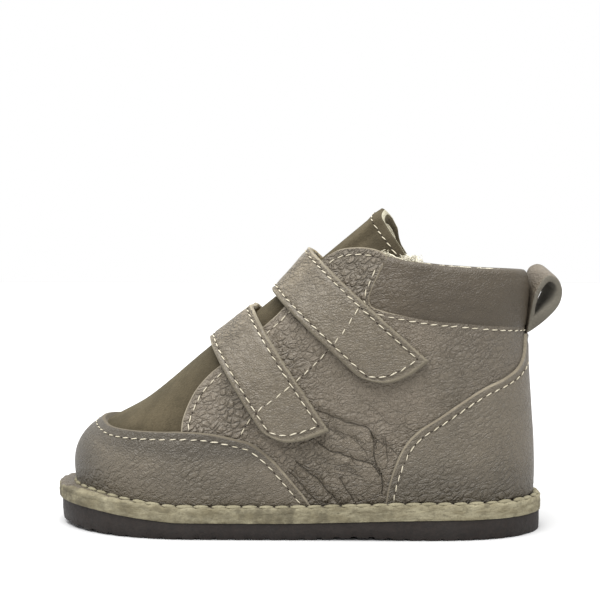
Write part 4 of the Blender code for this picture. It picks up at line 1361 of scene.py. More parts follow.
# %% Tongue
STRIP_FROM, STRIP_TO, BACK_FROM = 0.488, 0.512, 0.55
TONGUE_COLUMNS, TONGUE_ROWS = 64, 150
WOOL_TURNS = 30
bm = grid(TONGUE_COLUMNS, TONGUE_ROWS, tongue_at)
closed(bm, 2e-5)
row_of = bm.verts.layers.float["row"]
wool_side = [v for v in bm.verts if v[row_of] > STRIP_TO and not v.is_boundary]
for _ in range(WOOL_TURNS):
    bmesh.ops.smooth_vert(bm, verts=wool_side, factor=0.5, use_axis_x=True, use_axis_y=True, use_axis_z=True)
for tongue_face, row in zip(bm.faces, face_shares(bm, "row")):
    tongue_face.material_index = 1 if row > BACK_FROM else (2 if STRIP_FROM < row < STRIP_TO else 0)
tongue = keep_piece("tongue_suede", bm, [suede, fleece, tongue_edge], ["tongue"])
ROUND_LEVEL, ROUND_ENDS, ROUND_POINTS, ROUND_SUNK = 0.966, 0.97, 90, 0.35
round_share = np.linspace(-ROUND_ENDS, ROUND_ENDS, ROUND_POINTS)
round_points, round_out, round_depth = tongue_skin(np.full(ROUND_POINTS, ROUND_LEVEL), round_share)
round_points = round_points - round_out * (round_depth - ROUND_SUNK)[:, None]
seams.sew(round_points, round_out, STITCH_PITCH, STITCH, seed=17)

# %% [markdown]
# ## Straps
# Each strap is a doubled band that is sewn on at the inner side, crosses the instep and ends on the outer
# side with a rounded corner.  It lies between two parallel planes seen from the side, so it is traced as
# lines over the last, from its rear edge to its front edge.  Sweeping one section along a curve would twist
# on the saddle of the instep.  The rear edge of the upper strap stands a little off the tongue.

# %% Lines of the straps over the last
STRAP_COLUMNS = ("name", "x", "z", "along_x", "along_z", "width", "reach_rear", "reach_front", "bulge",
                 "tail", "stand")
STRAPS = (
    ("strap_lower", -9.2, 61.5, 0.555, -0.832, 18.2, 32.0, 25.0, 1.3, 15.0, 0.2),
    ("strap_upper", 9.0, 85.0, 0.742, -0.670, 18.6, 41.5, 33.5, 2.0, 15.0, 3.4),
)
STRAP_SEAT = 0.1
STRAP_LINES, STRAP_STEPS = 25, 240


class Strap:
    """One strap's own surface: share across from rear to front edge, and millimetres along from the ridge."""

    def __init__(self, row):
        self.size = dict(zip(STRAP_COLUMNS, row))
        size = self.size
        along = np.array([size["along_x"], size["along_z"]])
        along /= np.linalg.norm(along)
        across = np.array([along[1], -along[0]])
        self.lines, self.ends = [], []
        for share in np.linspace(0, 1, STRAP_LINES):
            origin = np.array([size["x"], size["z"]]) + across * size["width"] * share
            rounding = 5.0 * max(0.0, (share - 0.6) / 0.4) ** 3
            reach = size["reach_rear"] + (size["reach_front"] - size["reach_rear"]) * share - rounding
            reach += size["bulge"] * math.sin(math.pi * share)
            self.trace(origin, along, reach)
        self.ends = np.array(self.ends)
        self.length = self.ends[:, 1].mean() - self.ends[:, 0].mean()

    def trace(self, origin, along, reach):
        """One line over the last, from the outer end across the ridge to the inner end."""

        def seen(run):
            return origin[0] + along[0] * run, origin[1] + along[1] * run

        def inside(run):
            x, z = seen(run)
            return room_at(x, z - flange_top(x)) > 0

        ridge = halved(np.array(-60.0), np.array(10.0), inside)
        halves = []
        for side, end in ((-1, reach), (1, self.size["tail"])):
            x, z = seen(ridge + (end - ridge) * np.linspace(0, 1, STRAP_STEPS) ** 2)
            y = skin_y(x, z - flange_top(x), side)
            y[0] = spine_of(x[0])
            halves.append(np.column_stack([x, y, z]))
        line = np.vstack([halves[0][::-1], halves[1][1:]])
        length = run_along(line)
        length -= length[STRAP_STEPS - 1]
        self.lines.append((length, line))
        self.ends.append((length[0], length[-1]))

    def base(self, share, along):
        """Points of the last under the strap: along is 0 at the outer end and 1 at the inner end."""
        where = np.clip(share, 0, 1) * (STRAP_LINES - 1)
        low = np.clip(where.astype(int), 0, STRAP_LINES - 2)
        part = where - low
        points = np.zeros((len(share), 3))
        run = np.zeros(len(share))
        for i in range(STRAP_LINES):
            for used, weight in ((low == i, 1 - part), (low == i - 1, part)):
                if not used.any():
                    continue
                length, line = self.lines[i]
                first, last = self.ends[i]
                place_along = first + (last - first) * along[used]
                run[used] += weight[used] * place_along
                for k in range(3):
                    points[used, k] += weight[used] * np.interp(place_along, length, line[:, k])
        return points, run

    def lift(self, share, run):
        """Height of the strap's underside over the last."""
        over_quarter = STRAP_SEAT + 1.7 * ease((np.abs(run) - 2.5) / 6.0)
        stand = self.size["stand"] * (1 - share) * ease(1 - np.abs(run) / 16.0)
        return over_quarter + stand


straps = {row[0]: Strap(row) for row in STRAPS}
print("straps are", [round(strap.length) for strap in straps.values()], "mm long")

# %% Straps
STRAP_THICK = 2.0
STRAP_EDGE = 0.8
STRAP_FRAY = 0.75
STRAP_SEAM = 2.0
BAND_COLUMNS, BAND_ROWS = 170, 76


def warped(t, tight=0.22):
    """Shares closer together at both ends."""
    return t - tight * np.sin(2 * np.pi * t) / (2 * np.pi) * 2.2


def band_of(strap):
    """The function that puts a grid's shares on one strap."""
    width = strap.size["width"]

    def band_at(a, b):
        """b goes round the band: up its face, over the front edge, back along its underside."""
        upper = b * 2.0 <= 1.0
        share = warped(np.where(upper, b * 2.0, 2.0 - b * 2.0))
        points, run = strap.base(share, warped(a))
        d = np.minimum.reduce([share * width, (1 - share) * width, warped(a) * strap.length])
        round_off = STRAP_THICK * 0.5 * (1 - np.clip(d / STRAP_EDGE, 0, 1)) ** 2
        dip = 0.3 * np.exp(-((d - STRAP_SEAM) / 0.7) ** 2)
        soft = (0.24 * rough_at(points, 0.09, 71.0) + 0.12 * rough_at(points, 0.5, 77.0)) * ease(d / 1.2)
        low = strap.lift(share, run)
        height = np.where(upper, low + STRAP_THICK - round_off - dip + soft, low + round_off)
        return points + normal_at(points) * height[:, None]

    return band_at


for strap_name, strap in straps.items():
    bm = grid(BAND_COLUMNS, BAND_ROWS, band_of(strap))
    closed(bm, 1e-6)
    round_band = 2 * face_shares(bm, "row")
    share = warped(np.where(round_band <= 1, round_band, 2 - round_band))
    end_away = warped(face_shares(bm, "column")) * strap.length
    away = np.minimum(np.minimum(share, 1 - share) * strap.size["width"], 0.6 * end_away)
    away = away + 0.3 * rough_at(face_middles(bm), 0.9, 79.0)
    for strap_face, inside, over in zip(bm.faces, away > STRAP_FRAY, round_band <= 1):
        strap_face.material_index = (0 if over else 2) if inside else 1
    strap_y = vertex_points(bm)[:, 1]
    worked = np.exp(-((strap_y + 12.0) / 7.0) ** 2)
    # Painted shade: `tone_and_shade` darkens each strap down the outer side, away from the light on the
    # instep.
    keep_piece(strap_name + "_leather", bm, [leather_strap, strap_edge, strap_back], [strap_name],
               {"grain": 0.25 + 0.75 * worked, "tone_and_shade": 0.76 * ease((-strap_y - 11.0) / 8.0)})

# %% [markdown]
# ## Seams of the straps
# One thread runs down both long edges of a strap and across its free end, and another crosses the strap
# where it lies over the patch seam.  The crossing could be measured by hand, but it would go wrong when a
# strap is moved.  Here places along the strap are tried until one lies on the patch seam as seen from the
# side.

# %% Seams of the straps
SIDE_POINTS, CROSS_POINTS, CROSS_TRIES = 120, 40, 240
STRAP_SUNK, STRAP_END_IN = 0.18, 3.0


def strap_seam(strap, share, along, seed):
    points, run = strap.base(share, along)
    out = normal_at(points)
    height = strap.lift(share, run) + STRAP_THICK - STRAP_SUNK
    seams.sew(points + out * height[:, None], out, STITCH_PITCH, STITCH, seed=seed)


for strap_name, strap in straps.items():
    inset = STRAP_SEAM / strap.size["width"]
    end_in = STRAP_END_IN / strap.length
    down = np.linspace(end_in, 0.96, SIDE_POINTS)
    strap_seam(strap, np.full(SIDE_POINTS, inset), down, 30)
    strap_seam(strap, np.full(SIDE_POINTS, 1 - inset), down, 31)
    between = np.linspace(inset, 1 - inset, CROSS_POINTS)
    strap_seam(strap, between, np.full(CROSS_POINTS, end_in), 32)
    tries = np.linspace(0.02, 0.6, CROSS_TRIES)
    crossing = []
    for share in between:
        seen = strap.base(np.full(CROSS_TRIES, share), tries)[0]
        crossing.append(tries[np.argmin(from_line(seen[:, [0, 2]], patch_line))])
    strap_seam(strap, between, np.array(crossing), 33)
    print(strap_name, "is crossed", round(crossing[0] * strap.length, 1), "mm from its end")

# %% [markdown]
# ## Pull loop
# A short band of leather is folded into a drop shape and sewn to the back seam.  It has been pulled out of
# true, so bending one even band round a circle would not match it.  The outlines of its near and far edges
# are drawn, each with its hole, and the band blends them.

# %% Pull loop
LOOP_NEAR = ((72.2, 64.4), (75.5, 66.4), (79.8, 69.9), (83.3, 74.2), (84.2, 79.0), (82.4, 83.0), (79.0, 83.9),
             (75.6, 79.6), (73.6, 72.6))
LOOP_NEAR_HOLE = ((75.3, 71.2), (77.7, 72.8), (80.5, 75.2), (81.8, 78.4), (81.1, 80.8), (79.5, 81.2),
                  (77.3, 78.6), (75.7, 74.6))
LOOP_FAR = ((72.2, 64.4), (74.8, 67.4), (78.2, 72.2), (80.9, 78.2), (81.2, 83.8), (79.2, 87.1), (76.2, 87.6),
            (73.5, 84.8), (72.5, 74.4))
LOOP_FAR_HOLE = ((74.2, 70.8), (76.2, 73.8), (78.4, 78.6), (79.0, 82.6), (77.9, 85.0), (76.2, 85.3),
                 (74.9, 82.8), (74.2, 76.4))
LOOP_WIDTH = 14.0
LOOP_STEPS, LOOP_ROWS = 96, 40


def round_line(points):
    line = spaced(curved(points + points[:1], 8), 0.05)
    run = run_along(line)
    return at_lengths(line, run, np.linspace(0, run[-1], LOOP_STEPS + 1))


def squared_off(v):
    return np.sign(v) * np.abs(v) ** 0.35


near_out, near_in, far_out, far_in = (
    round_line(points) for points in (LOOP_NEAR, LOOP_NEAR_HOLE, LOOP_FAR, LOOP_FAR_HOLE))


def loop_at(a, b):
    """a follows the fold, b goes round the band's own section."""
    corner = 2 * np.pi * b
    y = LOOP_WIDTH / 2 * squared_off(np.cos(corner))
    hole = (0.5 - 0.5 * squared_off(np.sin(corner)))[:, None]
    near = (0.5 - y / LOOP_WIDTH)[:, None]
    column = np.rint(a * LOOP_STEPS).astype(int)
    near_points = near_out[column] * (1 - hole) + near_in[column] * hole
    far_points = far_out[column] * (1 - hole) + far_in[column] * hole
    section_points = far_points + (near_points - far_points) * near
    return np.column_stack([section_points[:, 0], y, section_points[:, 1]])


bm = grid(LOOP_STEPS, LOOP_ROWS, loop_at)
bmesh.ops.remove_doubles(bm, verts=bm.verts, dist=2e-6)
bmesh.ops.recalc_face_normals(bm, faces=bm.faces)
for loop_face, round_band in zip(bm.faces, face_shares(bm, "row")):
    loop_face.material_index = 1 if abs(loop_face.normal.y) > 0.7 or round_band > 0.5 else 0
keep_piece("pull_loop_leather", bm, [leather_taupe, loop_edge], ["pull_loop"],
           {"grain": np.full(len(bm.verts), 0.2)})

# %% [markdown]
# ## Outline of the sole
# The upper's edge is turned out all round, and board and rubber are trimmed to it.  So the outline of the
# sole is the foot of the last, moved out by the width of the flange, which grows at the toe.  Scaling the
# foot would widen it unevenly.  Flange and board are rings with a drawn section that runs round this
# outline.

# %% Outline of the sole
RING_STEPS = 900
SOLE_PITCH = 5.2
half_share = np.linspace(0, 1, RING_STEPS // 2 + 1)
ground = np.zeros(len(half_share))
outer_half, inner_half = (
    skin(from_table(turn_table[side], ground, half_share), ground, side) for side in (-1, 1))
base_ring = np.vstack([outer_half[::-1], inner_half[1:-1]])
ring_along = np.roll(base_ring, -2, axis=0) - np.roll(base_ring, 2, axis=0)
ring_out = unit(np.column_stack([ring_along[:, 1], -ring_along[:, 0], np.zeros(len(base_ring))]))
if np.sum(ring_out * (base_ring - base_ring.mean(axis=0))) < 0:
    ring_out = -ring_out
toe_share = ease((-base_ring[:, 0] - 40.0) / 38.0)
heel_share = ease((base_ring[:, 0] - 45.0) / 28.0)
flange_wide = FLANGE_SIDE + (FLANGE_TOE - FLANGE_SIDE) * toe_share + (FLANGE_HEEL - FLANGE_SIDE) * heel_share
sole_ring = base_ring + ring_out * flange_wide[:, None]
ring_run = run_along(sole_ring[:, :2])
sole_stitches = int(round(ring_run[-1] / SOLE_PITCH))
print("sole outline:", round(ring_run[-1]), "mm round, for", sole_stitches, "stitches")

# %% Rings round the outline


def ring_wide(share, column):
    """Distance out from the wall: a share of the flange's width, or millimetres inwards where it is minus."""
    return np.where(share < 0, share, share * flange_wide[column])


def fray_at(column, row, scale, rise, first=0.0):
    """Smooth noise round the ring that differs from row to row."""
    return np.array([noise.noise(Vector((base_ring[c, 0] * scale, base_ring[c, 1] * scale, first + r * rise)))
                     for c, r in zip(column, row)])


def ring_piece(name, section_at, look_of, looks, nodes, rows):
    """A ring: section_at gives, for each column and row, the distance out from the wall and the height."""
    count = len(base_ring)

    def ring_at(a, b):
        column = np.rint(a * count).astype(int) % count
        row = np.rint(b * rows).astype(int) % rows
        wide, height = section_at(column, row)
        points = base_ring[column] + ring_out[column] * wide[:, None]
        points[:, 2] = flange_top(points[:, 0]) + height
        return points

    bm = grid(count, rows, ring_at)
    bmesh.ops.remove_doubles(bm, verts=bm.verts, dist=1e-7)
    bmesh.ops.recalc_face_normals(bm, faces=bm.faces)
    for ring_face in bm.faces:
        ring_face.material_index = look_of(ring_face)
    x = vertex_points(bm)[:, 0]
    # Flange and board get darker from the middle of the foot to the toe, most under the middle and again at
    # the tip.
    darker_towards_toe = 0.3 * ease((20.0 - x) / 40.0) + 0.38 * np.exp(-((x - 10.0) / 26.0) ** 2)
    darker_towards_toe = darker_towards_toe + 0.25 * ease((-x - 68.0) / 8.0)
    keep_piece(name, bm, looks, nodes, {"grain": np.full(len(bm.verts), 0.3), "tone_and_shade": darker_towards_toe})


print("the flange is", flange_wide.min().round(1), "to", flange_wide.max().round(1), "mm wide")

# %% [markdown]
# ## Flange
# The flange is the upper's own edge, turned out flat and sewn down.  Each stitch pulls the leather down
# between low swells, and towards the rim it is worn to the pale raw hide.  The swells follow the count of
# stitches, so that a stitch always lies in a dip, which plain noise could not promise.

# %% Flange
FLANGE_THICK = 1.6
SWELL, SWELL_SUNK = 0.5, 0.22
# Each row is a share of the width, a height, and how much of the swell it takes.
FLANGE_SECTION = ((-1.5, 0.0, 0.0), (0.3, 0.0, 0.0), (0.55, 0.06, 0.3), (0.72, 0.06, 1.0), (0.86, 0.04, 1.0),
                  (0.95, -0.08, 0.8), (0.995, -0.4, 0.4), (1.0, -0.9, 0.1), (1.0, -1.6, 0.0),
                  (-1.5, -1.6, 0.0))
flange_sizes = np.array(FLANGE_SECTION)


def flange_at(column, row):
    share, height, swells = flange_sizes[row].T
    phase = ring_run[column] / ring_run[-1] * sole_stitches
    swell = SWELL * np.abs(np.sin(np.pi * phase)) ** 0.7 - SWELL_SUNK
    fray = fray_at(column, row, 0.8, 0.6)
    wide = ring_wide(share, column) + np.where(share > 0.9, 0.22 * fray, 0.0)
    return wide, height + swells * swell + 0.1 * fray * (share > 0.4)


def flange_look(ring_face):
    """The raw hide shows beyond a line that lies further in at the toe, but not at its tip."""
    centre = np.array(ring_face.calc_center_median()) / MM - SHIFT
    nearest = np.argmin(np.sum((base_ring[:, :2] - centre[:2]) ** 2, axis=1))
    wide = np.linalg.norm(centre[:2] - base_ring[nearest, :2]) / flange_wide[nearest]
    x = base_ring[nearest, 0]
    return 1 if wide > 0.8 - 0.25 * toe_share[nearest] + 0.42 * ease((-x - 70.0) / 5.0) else 0


ring_piece("flange", flange_at, flange_look, [leather_taupe, board], [], len(FLANGE_SECTION))

# %% [markdown]
# ## Midsole
# A pale board lies between the upper and the rubber, and only its cut edge shows.  A plain slab would do
# for that, but its edge would be ruled.  A ring with a drawn section lets the edge bulge, taper and fray a
# little.

# %% Midsole
MIDSOLE_THICK = 2.7
BOARD_GAP, BOARD_BELOW = -0.1, 0.5
# Each row is a share of the flange's width and a share of the thickness, downwards.
BOARD_SECTION = ((-12.0, 0.0), (0.995, 0.0), (1.005, 0.12), (1.012, 0.3), (1.008, 0.5), (1.012, 0.75),
                 (1.0, 0.92), (0.985, 1.0), (-12.0, 1.0))
board_sizes = np.array(BOARD_SECTION)


def board_at(column, row):
    share, down = board_sizes[row].T
    wide = ring_wide(share, column) + 0.16 * fray_at(column, row, 0.6, 0.5, 9.0) * (share > 0)
    return wide, -FLANGE_THICK - BOARD_GAP - down * (MIDSOLE_THICK + BOARD_BELOW)


ring_piece("midsole_board", board_at, lambda ring_face: 0, [board], ["midsole"], len(BOARD_SECTION))

# %% [markdown]
# ## Sole seam
# A thick waxed thread holds flange, board and rubber together.  One long tube would be simpler, but it
# would not show where the needle went.  It is sewn like the finer seams, with longer and fatter stitches
# that nearly touch, and without holes, because the thread fills them.

# %% Sole seam
THREAD_IN, THREAD_IN_TOE, THREAD_UP = 3.5, 1.2, 0.15
SOLE_STITCH = (5.2, 2.1, 1.3)
sole_seam = Thread()
sole_line = base_ring + ring_out * (THREAD_IN - THREAD_IN_TOE * toe_share)[:, None]
sole_line[:, 2] = flange_top(sole_line[:, 0]) + THREAD_UP
sole_line = np.vstack([sole_line, sole_line[:1]])
upright = np.tile([[0.0, 0.0, 1.0]], (len(sole_line), 1))
sole_seam.sew(sole_line, upright, SOLE_PITCH, SOLE_STITCH, slant=0.05, seed=50, holes=False, lift=0.1)
sole_seam.piece("sole_seam_thread", [sole_thread], "board")

# %% [markdown]
# ## Outsole
# The rubber is one slab with a zigzag tread.  Its grooves could be cut out with a boolean, which leaves
# ragged faces on a curved sole.  Here sections across the foot run from one edge round the underside to the
# other and back over the top, and the grooves are pressed into the heights of the underside.

# %% Tread of the outsole
BOARD_SLACK = 0.3
GROOVE_PITCH, GROOVE_WIDTH, GROOVE_DEPTH = 5.6, 1.9, 1.3
GROOVE_SWING, GROOVE_FOLD, GROOVE_FIRST = 1.6, 19.0, -78.4
ARCH_RISE, ARCH_FROM, ARCH_TO = 0.8, -4.0, 40.0
TOE_SPRING, SPRING_START, SOLE_TIP = 2.0, -48.0, -85.2
RUBBER_IN, RUBBER_IN_TOE, RUBBER_FOOT = 0.4, 0.6, 0.9
EDGE_LUG, EDGE_NOTCH = 4.0, 0.28


def spring_at(x):
    return TOE_SPRING * (np.maximum(0.0, SPRING_START - x) / (SPRING_START - SOLE_TIP)) ** 2


def arch_at(x):
    return ARCH_RISE * np.sin(np.pi * np.clip((x - ARCH_FROM) / (ARCH_TO - ARCH_FROM), 0, 1)) ** 2


def groove_at(x, y):
    fold = np.abs((y / GROOVE_FOLD + 1) % 2 - 1)
    place_in = (x - GROOVE_FIRST - GROOVE_SWING * (1 - 2 * fold)) % GROOVE_PITCH
    away = np.minimum(place_in, GROOVE_PITCH - place_in)
    return GROOVE_DEPTH * (1 - ease((away - GROOVE_WIDTH / 2 + 0.2) / 0.4))


print("grooves are", GROOVE_DEPTH, "mm deep, every", GROOVE_PITCH, "mm")

# %% Outsole
SOLE_COLUMNS = 420
UNDER_ROWS, WALL_ROWS, TOP_ROWS = 46, 5, 3
SOLE_ROWS = 2 * WALL_ROWS + UNDER_ROWS + TOP_ROWS


def edges_of(ring):
    """The outer and the inner edge of a ring, each as rising x with its y."""
    half = RING_STEPS // 2
    edges = {}
    for side, edge_points in ((-1, ring[:half + 1]), (1, np.vstack([ring[half:], ring[:1]]))):
        order = np.argsort(edge_points[:, 0])
        edges[side] = (edge_points[order, 0], edge_points[order, 1])
    return edges


rubber_ring = sole_ring - ring_out * (RUBBER_IN + RUBBER_IN_TOE * toe_share)[:, None]
rubber_edges = edges_of(rubber_ring)
rubber_tip, rubber_back = rubber_ring[:, 0].min(), rubber_ring[:, 0].max()


def rubber_at(a, b):
    """b runs down the outer wall, across the underside, up the inner wall and back over the top."""
    x = rubber_tip + (rubber_back - rubber_tip) * (0.72 * a + 0.28 * (1 - np.cos(np.pi * a)) / 2)
    left, right = np.interp(x, *rubber_edges[-1]), np.interp(x, *rubber_edges[1])
    row = np.rint(b * SOLE_ROWS).astype(int) % SOLE_ROWS
    down = np.clip(row / WALL_ROWS, 0, 1)
    across = np.clip((row - WALL_ROWS) / UNDER_ROWS, 0, 1)
    climb = np.clip((row - WALL_ROWS - UNDER_ROWS) / WALL_ROWS, 0, 1)
    over = np.clip((row - 2 * WALL_ROWS - UNDER_ROWS) / TOP_ROWS, 0, 1)
    wall = np.minimum(down, 1 - climb)
    inset = RUBBER_FOOT * ease((wall - 0.6) / 0.4) * (over == 0)
    narrow = np.minimum(inset, (right - left) * 0.45)
    under_y = left + narrow + (right - left - 2 * narrow) * across
    y = np.where(over > 0, right + (left - right) * over, under_y)
    inside = np.clip(np.minimum(y - left, right - y) / EDGE_LUG, 0.0, 1.0)
    tread = groove_at(x, y) * (EDGE_NOTCH + (1 - EDGE_NOTCH) * ease(inside)) * (wall > 0.75)
    low = spring_at(x) + arch_at(x) + tread
    top = flange_top(x) - FLANGE_THICK - BOARD_SLACK - MIDSOLE_THICK - BOARD_SLACK
    return np.column_stack([x, y, top + (low - top) * np.where(over > 0, 0.0, wall)])


bm = grid(SOLE_COLUMNS, SOLE_ROWS, rubber_at)
closed(bm, 2e-6)
keep_piece("outsole_rubber", bm, [rubber], ["outsole"])

# %% [markdown]
# ## Lining
# The lining is curly wool inside the whole upper, up to the collar's roll.  A particle system could grow
# it, but hair isn't kept as a mesh.  A lumpy sheet gives the body of the wool here, and loose curls come
# later.  The sheet is left open at the throat, where the tongue brings its own wool.

# %% Lining
LINING_DEPTH, LINING_THICK = 2.2, 0.4
LINING_ROWS, LINING_COLUMNS = 90, 300
GUESS_UP = 74.0
THROAT_UP, THROAT_SIDE = 48.0, 5.0


def collar_up_at(x):
    return collar_of(x) - flange_top(x)


def lining_base(a, b):
    """a goes from the front round the outer side to the heel and on to the front again, b goes up."""
    side = np.where(a < 0.5, -1, 1)
    share = np.where(a < 0.5, 2 * a, 2 - 2 * a)
    points = np.zeros((len(a), 3))
    for one in (-1, 1):
        here = side == one
        level = np.full(here.sum(), GUESS_UP)
        guess = skin(from_table(turn_table[one], level, share[here]), level, one)
        up = collar_up_at(guess[:, 0]) * b[here]
        points[here] = skin(from_table(turn_table[one], up, share[here]), up, one)
    return points


def lining_at(a, b):
    points = lining_base(a, b)
    out = normal_at(points)
    wool = 0.7 * rough_at(points, 0.5, 81.0) + 0.45 * rough_at(points, 1.1, 83.0)
    depth = LINING_DEPTH + 0.4 - wool
    depth = depth - 1.5 * ease((b - 0.97) / 0.03)
    return points - out * depth[:, None]


def throat_at(up, side):
    """Where the throat's opening ends at a height, with a little more to the side."""
    return pulled_over(np.column_stack([-throat_of(up) - side, up]), "toe")[:, 0]


bm = grid(LINING_COLUMNS, LINING_ROWS, lining_at)
middles = face_middles(bm)
middle_up = middles[:, 2] - flange_top(middles[:, 0])
open_front = (middle_up > THROAT_UP) & (middles[:, 0] < throat_at(middle_up, THROAT_SIDE))
doomed = [f for f, gone in zip(bm.faces, open_front) if gone]
bmesh.ops.delete(bm, geom=doomed, context="FACES")
bmesh.ops.remove_doubles(bm, verts=bm.verts, dist=1e-6)
bmesh.ops.recalc_face_normals(bm, faces=bm.faces)
bmesh.ops.reverse_faces(bm, faces=bm.faces)
bmesh.ops.solidify(bm, geom=bm.faces[:], thickness=LINING_THICK * MM)
keep_piece("fleece_lining", bm, [fleece])

# %% [markdown]
# ## Insole
# A loose footbed of the same wool lies on the board.  A scaled copy of the sole would poke through the
# walls at the waist, so its outline is the foot of the last, drawn in by the thickness of the lining.
# Noise lifts its top, and its underside is plain.

# %% Insole
INSOLE_TOP, INSOLE_LOW = 2.6, -1.6
INSOLE_IN = 2.4
INSOLE_COLUMNS, INSOLE_ROWS = 150, 120
WOOL_AT = 14.0
insole_ring = base_ring - ring_out * INSOLE_IN
insole_edges = edges_of(insole_ring)


def insole_at(a, b):
    x = insole_ring[:, 0].min() + np.ptp(insole_ring[:, 0]) * (1 - np.cos(np.pi * a)) / 2
    upper = b <= 0.5
    across = np.where(upper, 2 * b, 2 - 2 * b)
    y = np.interp(x, *insole_edges[-1]) * (1 - across) + np.interp(x, *insole_edges[1]) * across
    points = np.column_stack([x, y, np.full(len(x), WOOL_AT)])
    wool = 0.6 * rough_at(points, 0.45, 91.0) + 0.4 * rough_at(points, 1.0, 93.0)
    top = flange_top(x) + INSOLE_TOP + wool
    points[:, 2] = np.where(upper, top, flange_top(x) + INSOLE_LOW)
    return points


bm = grid(INSOLE_COLUMNS, INSOLE_ROWS, insole_at)
bmesh.ops.remove_doubles(bm, verts=bm.verts, dist=2e-6)
keep_piece("insole_fleece", bm, [fleece], ["insole"])

# %% [markdown]
# ## Curls of wool
# Short curls stand out of the lining, thickest along the collar, where a bright line of wool shows.  One
# curl is a thin tube, extruded step by step round three quarters of a turn.  Real wool has far more hairs,
# but a few thousand curls over the lumpy sheet are enough to break its outline.

# %% One curl
CURL_STEPS, CURL_SIDES, CURL_THICK = 6, 4, 0.2
CURL_TURN = 1.5 * math.pi
CURL_WIDE, CURL_RISE, CURL_TAPER = 0.55, 0.26, 0.93


def curl_shape():
    """One short curl: a thin tapered tube wound three quarters of a turn, as points and faces."""
    bm = bmesh.new()
    bmesh.ops.create_circle(bm, cap_ends=True, segments=CURL_SIDES, radius=CURL_THICK)
    tip = bm.faces[:][0]
    for step in range(1, CURL_STEPS + 1):
        tip = bmesh.ops.extrude_discrete_faces(bm, faces=[tip])["faces"][0]
        angle = CURL_TURN * step / CURL_STEPS
        last = CURL_TURN * (step - 1) / CURL_STEPS
        shift = (CURL_WIDE * (math.sin(angle) - math.sin(last)),
                 CURL_WIDE * (math.cos(last) - math.cos(angle)), CURL_RISE)
        bmesh.ops.translate(bm, verts=tip.verts[:], vec=shift)
        bmesh.ops.scale(bm, verts=tip.verts[:], vec=(CURL_TAPER, CURL_TAPER, CURL_TAPER),
                        space=Matrix.Translation(-tip.calc_center_median()))
    return points_and_faces(bm)


curl = curl_shape()
print("a curl has", len(curl[1]), "triangles")

# %% Scattering the curls
WALL_CURLS, TONGUE_CURLS, TUFT_CURLS, INSOLE_CURLS = 2600, 650, 200, 320
WOOL_THROAT_UP, WOOL_THROAT_SIDE = 44.0, 6.0
curls = Thread()
rng = np.random.default_rng(7)


def scatter(points, out, size):
    """One curl at each point, turned at random about the direction out of the wool."""
    count = len(points)
    spin = rng.normal(0, 1, (count, 3))
    tilted = unit(out + 0.45 * rng.normal(0, 1, (count, 3)))
    along = unit(np.cross(tilted, spin))
    sizes = size * rng.uniform(0.7, 1.25, (count, 1)) * np.ones((1, 3))
    curls.take(copies(curl, points, along, np.cross(tilted, along), tilted, sizes), 0)


a = rng.uniform(0.0, 1.0, WALL_CURLS)
by_rim = rng.uniform(0, 1, WALL_CURLS) < 0.45
b = np.where(by_rim, rng.uniform(0.95, 0.985, WALL_CURLS), rng.uniform(0.35, 0.95, WALL_CURLS))
wall = lining_base(a, b)
wall_up = wall[:, 2] - flange_top(wall[:, 0])
lined = (wall[:, 0] > throat_at(wall_up, WOOL_THROAT_SIDE)) | (wall_up < WOOL_THROAT_UP)
scatter(lining_at(a, b)[lined], -normal_at(wall)[lined], 0.9)
level = rng.uniform(0.5, 0.88, TONGUE_CURLS)
tongue_points, tongue_out, tongue_depth = tongue_skin(level, rng.uniform(-0.95, 0.95, TONGUE_CURLS))
scatter(tongue_points - tongue_out * (tongue_depth + TONGUE_THICK)[:, None], -tongue_out, 0.9)
tuft_x = rng.uniform(24.0, 37.0, TUFT_CURLS)
tuft_side = rng.choice([-1, 1], TUFT_CURLS)
tuft_up = collar_up_at(tuft_x) + rng.uniform(-0.8, 1.7, TUFT_CURLS)
tuft = np.column_stack([tuft_x, skin_y(tuft_x, tuft_up, tuft_side), flange_top(tuft_x) + tuft_up])
tuft = tuft - normal_at(tuft) * rng.uniform(1.8, 4.5, (TUFT_CURLS, 1))
scatter(tuft, np.tile([[0.2, 0.0, 0.95]], (TUFT_CURLS, 1)), 1.0)
a, b = rng.uniform(0.45, 0.95, INSOLE_CURLS), rng.uniform(0.06, 0.44, INSOLE_CURLS)
scatter(insole_at(a, b), np.tile([[0.0, 0.0, 1.0]], (INSOLE_CURLS, 1)), 1.0)
curls.piece("fleece_curls", [fleece], "fleece")

# %% [markdown]
# ## All seams in one piece
# The stitches of cap, counter, quarters, collar, tongue and straps were collected along the way.  They
# could be a piece for each seam, but one thread was used for all, so one mesh is kept, with the thread's
# look and the painted shade of the needle holes.

# %% All seams in one piece
seams.piece("seam_thread", [thread, needle_hole_shade], "leather")

# %% [markdown]
# ## Floor
# The boot stands on a white table.  A pale matte floor catches the soft shadow under the sole, which a
# plain white backdrop could not.  It is only a stage, and isn't part of the boot.

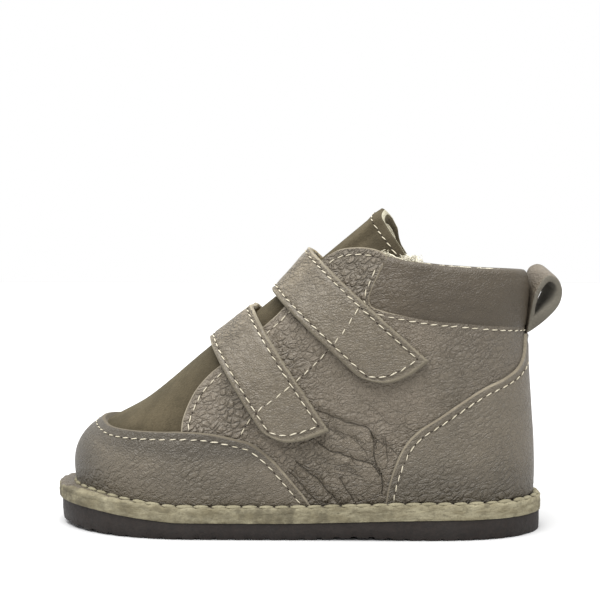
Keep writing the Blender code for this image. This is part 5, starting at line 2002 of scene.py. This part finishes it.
# %% Floor
bm = bmesh.new()
bmesh.ops.create_grid(bm, x_segments=1, y_segments=1, size=3.0)
floor_mesh = bpy.data.meshes.new("floor")
bm.to_mesh(floor_mesh)
bm.free()
floor = bpy.data.objects.new("floor", floor_mesh)
floor_look, _, floor_shader = new_look("floor_white")
floor_shader.inputs["Base Color"].default_value = (0.5, 0.5, 0.5, 1.0)
floor_shader.inputs["Roughness"].default_value = 0.95
floor_shader.inputs["Specular IOR Level"].default_value = 0.1
floor_mesh.materials.append(floor_look)
bpy.context.scene.collection.objects.link(floor)
print("the floor is", round(floor.dimensions.x, 1), "m wide")

# %% [markdown]
# ## Light
# The boot is lit from above by a broad soft lamp.  A white world gives the even light, and one very wide
# sun above and in front brightens what faces up.  A small lamp would draw hard shadows beside the sole.

# %% Light
KEY_FROM = Vector((-0.12, -0.28, 1.0))
KEY_POWER, KEY_SPREAD = 6.0, math.radians(62.0)
scene = bpy.context.scene
scene.view_settings.view_transform = "Standard"
world = bpy.data.worlds.new("studio")
world.use_nodes = True
world.node_tree.nodes["Background"].inputs["Color"].default_value = (1.0, 1.0, 1.0, 1.0)
world.node_tree.nodes["Background"].inputs["Strength"].default_value = 1.0
scene.world = world
key_data = bpy.data.lights.new("key", "SUN")
key_data.energy = KEY_POWER
key_data.angle = KEY_SPREAD
key = bpy.data.objects.new("key", key_data)
key.location = KEY_FROM
key.rotation_euler = (-KEY_FROM).to_track_quat("-Z", "Y").to_euler()
scene.collection.objects.link(key)
print("the sun is", round(math.degrees(KEY_SPREAD)), "degrees wide")

# %% [markdown]
# ## Camera
# The camera stands level with the collar, a little behind the middle of the boot, with a lens of medium
# length.  It is turned by two angles instead of being aimed at a target, because two angles
# are easy to match to the photo.

# %% Camera
CAMERA_AT = np.array([27.2, -425.0, 92.1])
CAMERA_TURN, CAMERA_DOWN = math.radians(4.0), math.radians(2.26)
LENS = 75.9
camera_data = bpy.data.cameras.new("photo_camera")
camera_data.lens = LENS
camera_data.sensor_width = 36.0
camera_data.clip_start = 0.01
camera = bpy.data.objects.new("photo_camera", camera_data)
camera.location = Vector((CAMERA_AT + SHIFT) * MM)
look_along = Vector((-math.sin(CAMERA_TURN) * math.cos(CAMERA_DOWN),
                     math.cos(CAMERA_TURN) * math.cos(CAMERA_DOWN), -math.sin(CAMERA_DOWN)))
camera.rotation_euler = look_along.to_track_quat("-Z", "Y").to_euler()
scene.collection.objects.link(camera)
scene.camera = camera
print("camera at", [round(v, 4) for v in camera.location])
